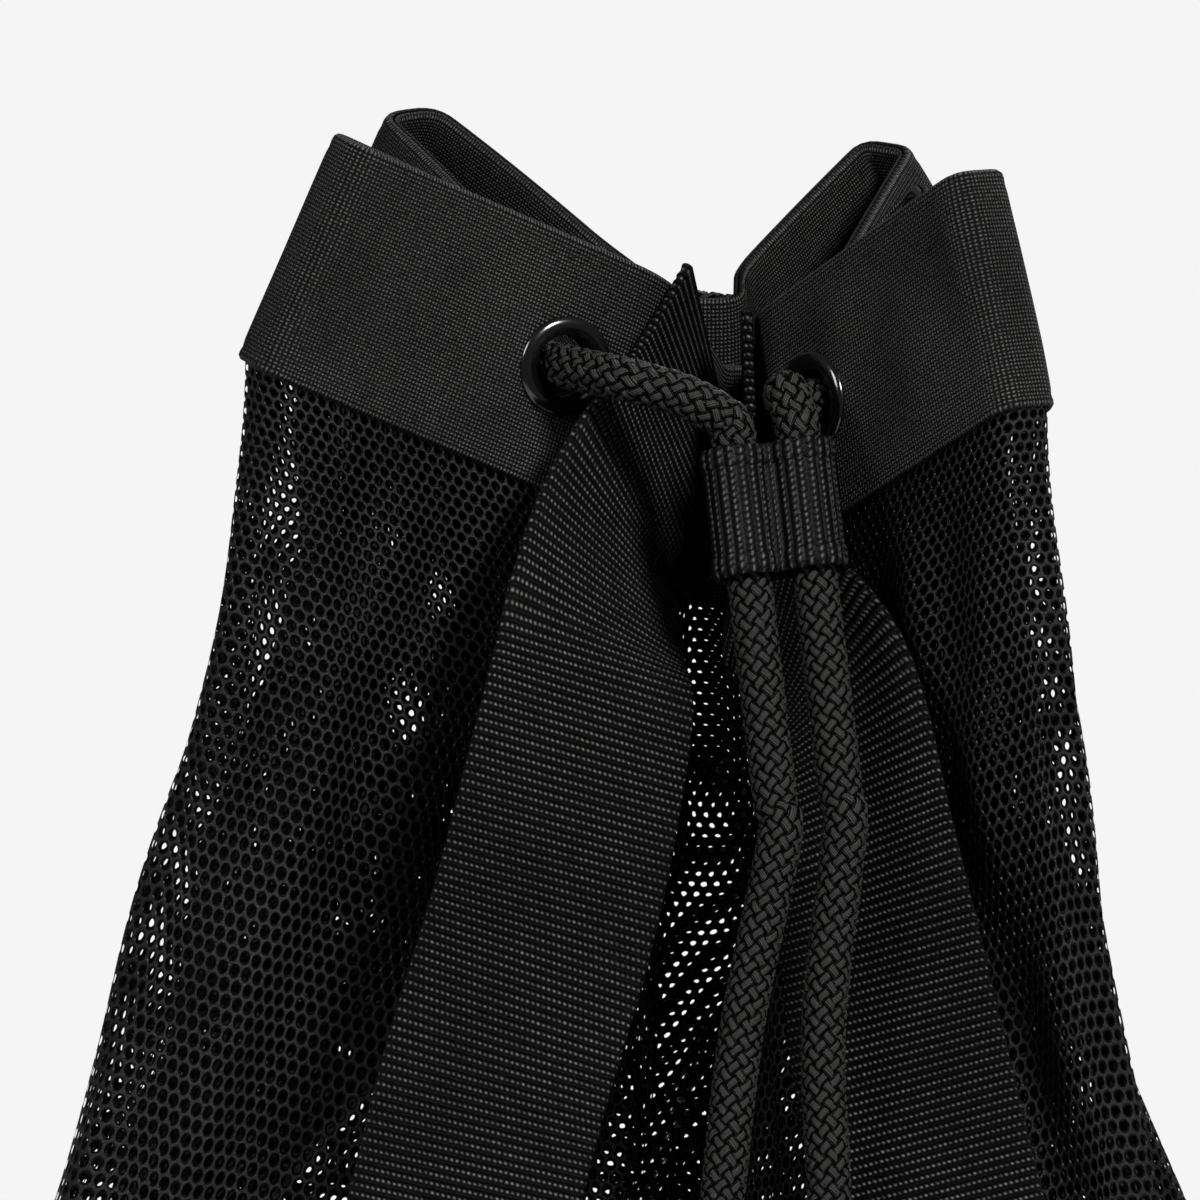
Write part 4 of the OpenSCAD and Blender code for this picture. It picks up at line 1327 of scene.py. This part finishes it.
# %% Side tapes
def side_tape(name, centre, node):
    s = centre + np.linspace(-5, 5, 9)
    z = net_levels[1:]
    grid_s, grid_z = np.meshgrid(s, z)
    sides = wall_side(grid_s, grid_z)
    out = pleats(grid_s, grid_z) + 0.9
    points = wall_point(grid_s, grid_z) + sides * out[..., None]
    u, v = np.meshgrid((s - centre) * MM, z * MM)
    tape = add_piece(name, grid_mesh(name, points, np.stack([u, v], -1)), tape_finish,
                     replaces=[node])
    body = tape.modifiers.new("thickness", "SOLIDIFY")
    body.thickness = 0.6 * MM
    body.offset = 0.0
    return [(points[:, c] + sides[:, c] * 0.35, False) for c in (1, 7)]


tape_seams = side_tape("seam_tape_left", seam_s["left"], "side_tape_left")
tape_seams += side_tape("seam_tape_right", seam_s["right"], "side_tape_right")
sew("seam_stitches", tape_seams)

# %% [markdown]
# ## Rings and sliders
# These moulded pieces already have the right shape in the model, so they keep it and only get
# their satin plastic.

# %% Hardware
for kind in ("strap_ring", "strap_slider"):
    for side in ("left", "right"):
        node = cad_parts[f"{kind}_{side}"]
        node.data.materials.clear()
        node.data.materials.append(plastic_finish)

# %% [markdown]
# ## Sheets
# The net and the collar are cloth that was cut flat before it was gathered.

# %% [markdown]
# ## Floor and light
# A pale floor, an even pale surround and three soft lamps: a key high on the right, a weaker
# fill on the left and one behind that rims the folds. Black cloth shows its weave only where
# light rakes across it, so the key is small and the surround does little of the lighting.

# %% Floor
floor_r = 1.7
floor_mesh = bpy.data.meshes.new("floor")
ring = [(floor_r * math.cos(a), floor_r * math.sin(a), 0)
        for a in np.linspace(0, 2 * np.pi, 96)[:-1]]
floor_mesh.from_pydata(ring, [], [list(range(len(ring)))])
floor = bpy.data.objects.new("floor", floor_mesh)
bpy.context.scene.collection.objects.link(floor)
pale = bpy.data.materials.new("pale floor")
pale.use_nodes = True
pale.node_tree.nodes["Principled BSDF"].inputs["Base Color"].default_value = (0.86, 0.86, 0.86, 1)
pale.node_tree.nodes["Principled BSDF"].inputs["Roughness"].default_value = 0.9
floor_mesh.materials.append(pale)

# %% Lamps and surround
def lamp(name, place, size, power, target=(0, 0, 0.68)):
    light = bpy.data.lights.new(name, "AREA")
    light.shape = "DISK"
    light.size = size
    light.energy = power
    lamp_object = bpy.data.objects.new(name, light)
    lamp_object.location = place
    aim = Vector(target) - Vector(place)
    lamp_object.rotation_euler = aim.to_track_quat("-Z", "Y").to_euler()
    bpy.context.scene.collection.objects.link(lamp_object)


lamp("key", place=(0.8, -1.1, 1.8), size=0.4, power=44)
lamp("fill", place=(-1.2, -0.9, 1.6), size=0.7, power=14)
lamp("rim", place=(0.5, 1.6, 1.9), size=0.9, power=12)
surround_light = 0.11
surround_seen = 1.0
world = bpy.data.worlds.new("surround")
bpy.context.scene.world = world
world.use_nodes = True
sky = world.node_tree.nodes["Background"]
seen = put(world.node_tree, "ShaderNodeLightPath")
strength = put(world.node_tree, "ShaderNodeMapRange", seen.outputs["Is Camera Ray"], 0.0, 1.0,
               surround_light, surround_seen)
world.node_tree.links.new(strength.outputs[0], sky.inputs["Strength"])
sky.inputs["Color"].default_value = (0.913, 0.913, 0.913, 1)
bpy.context.scene.view_settings.view_transform = "Standard"
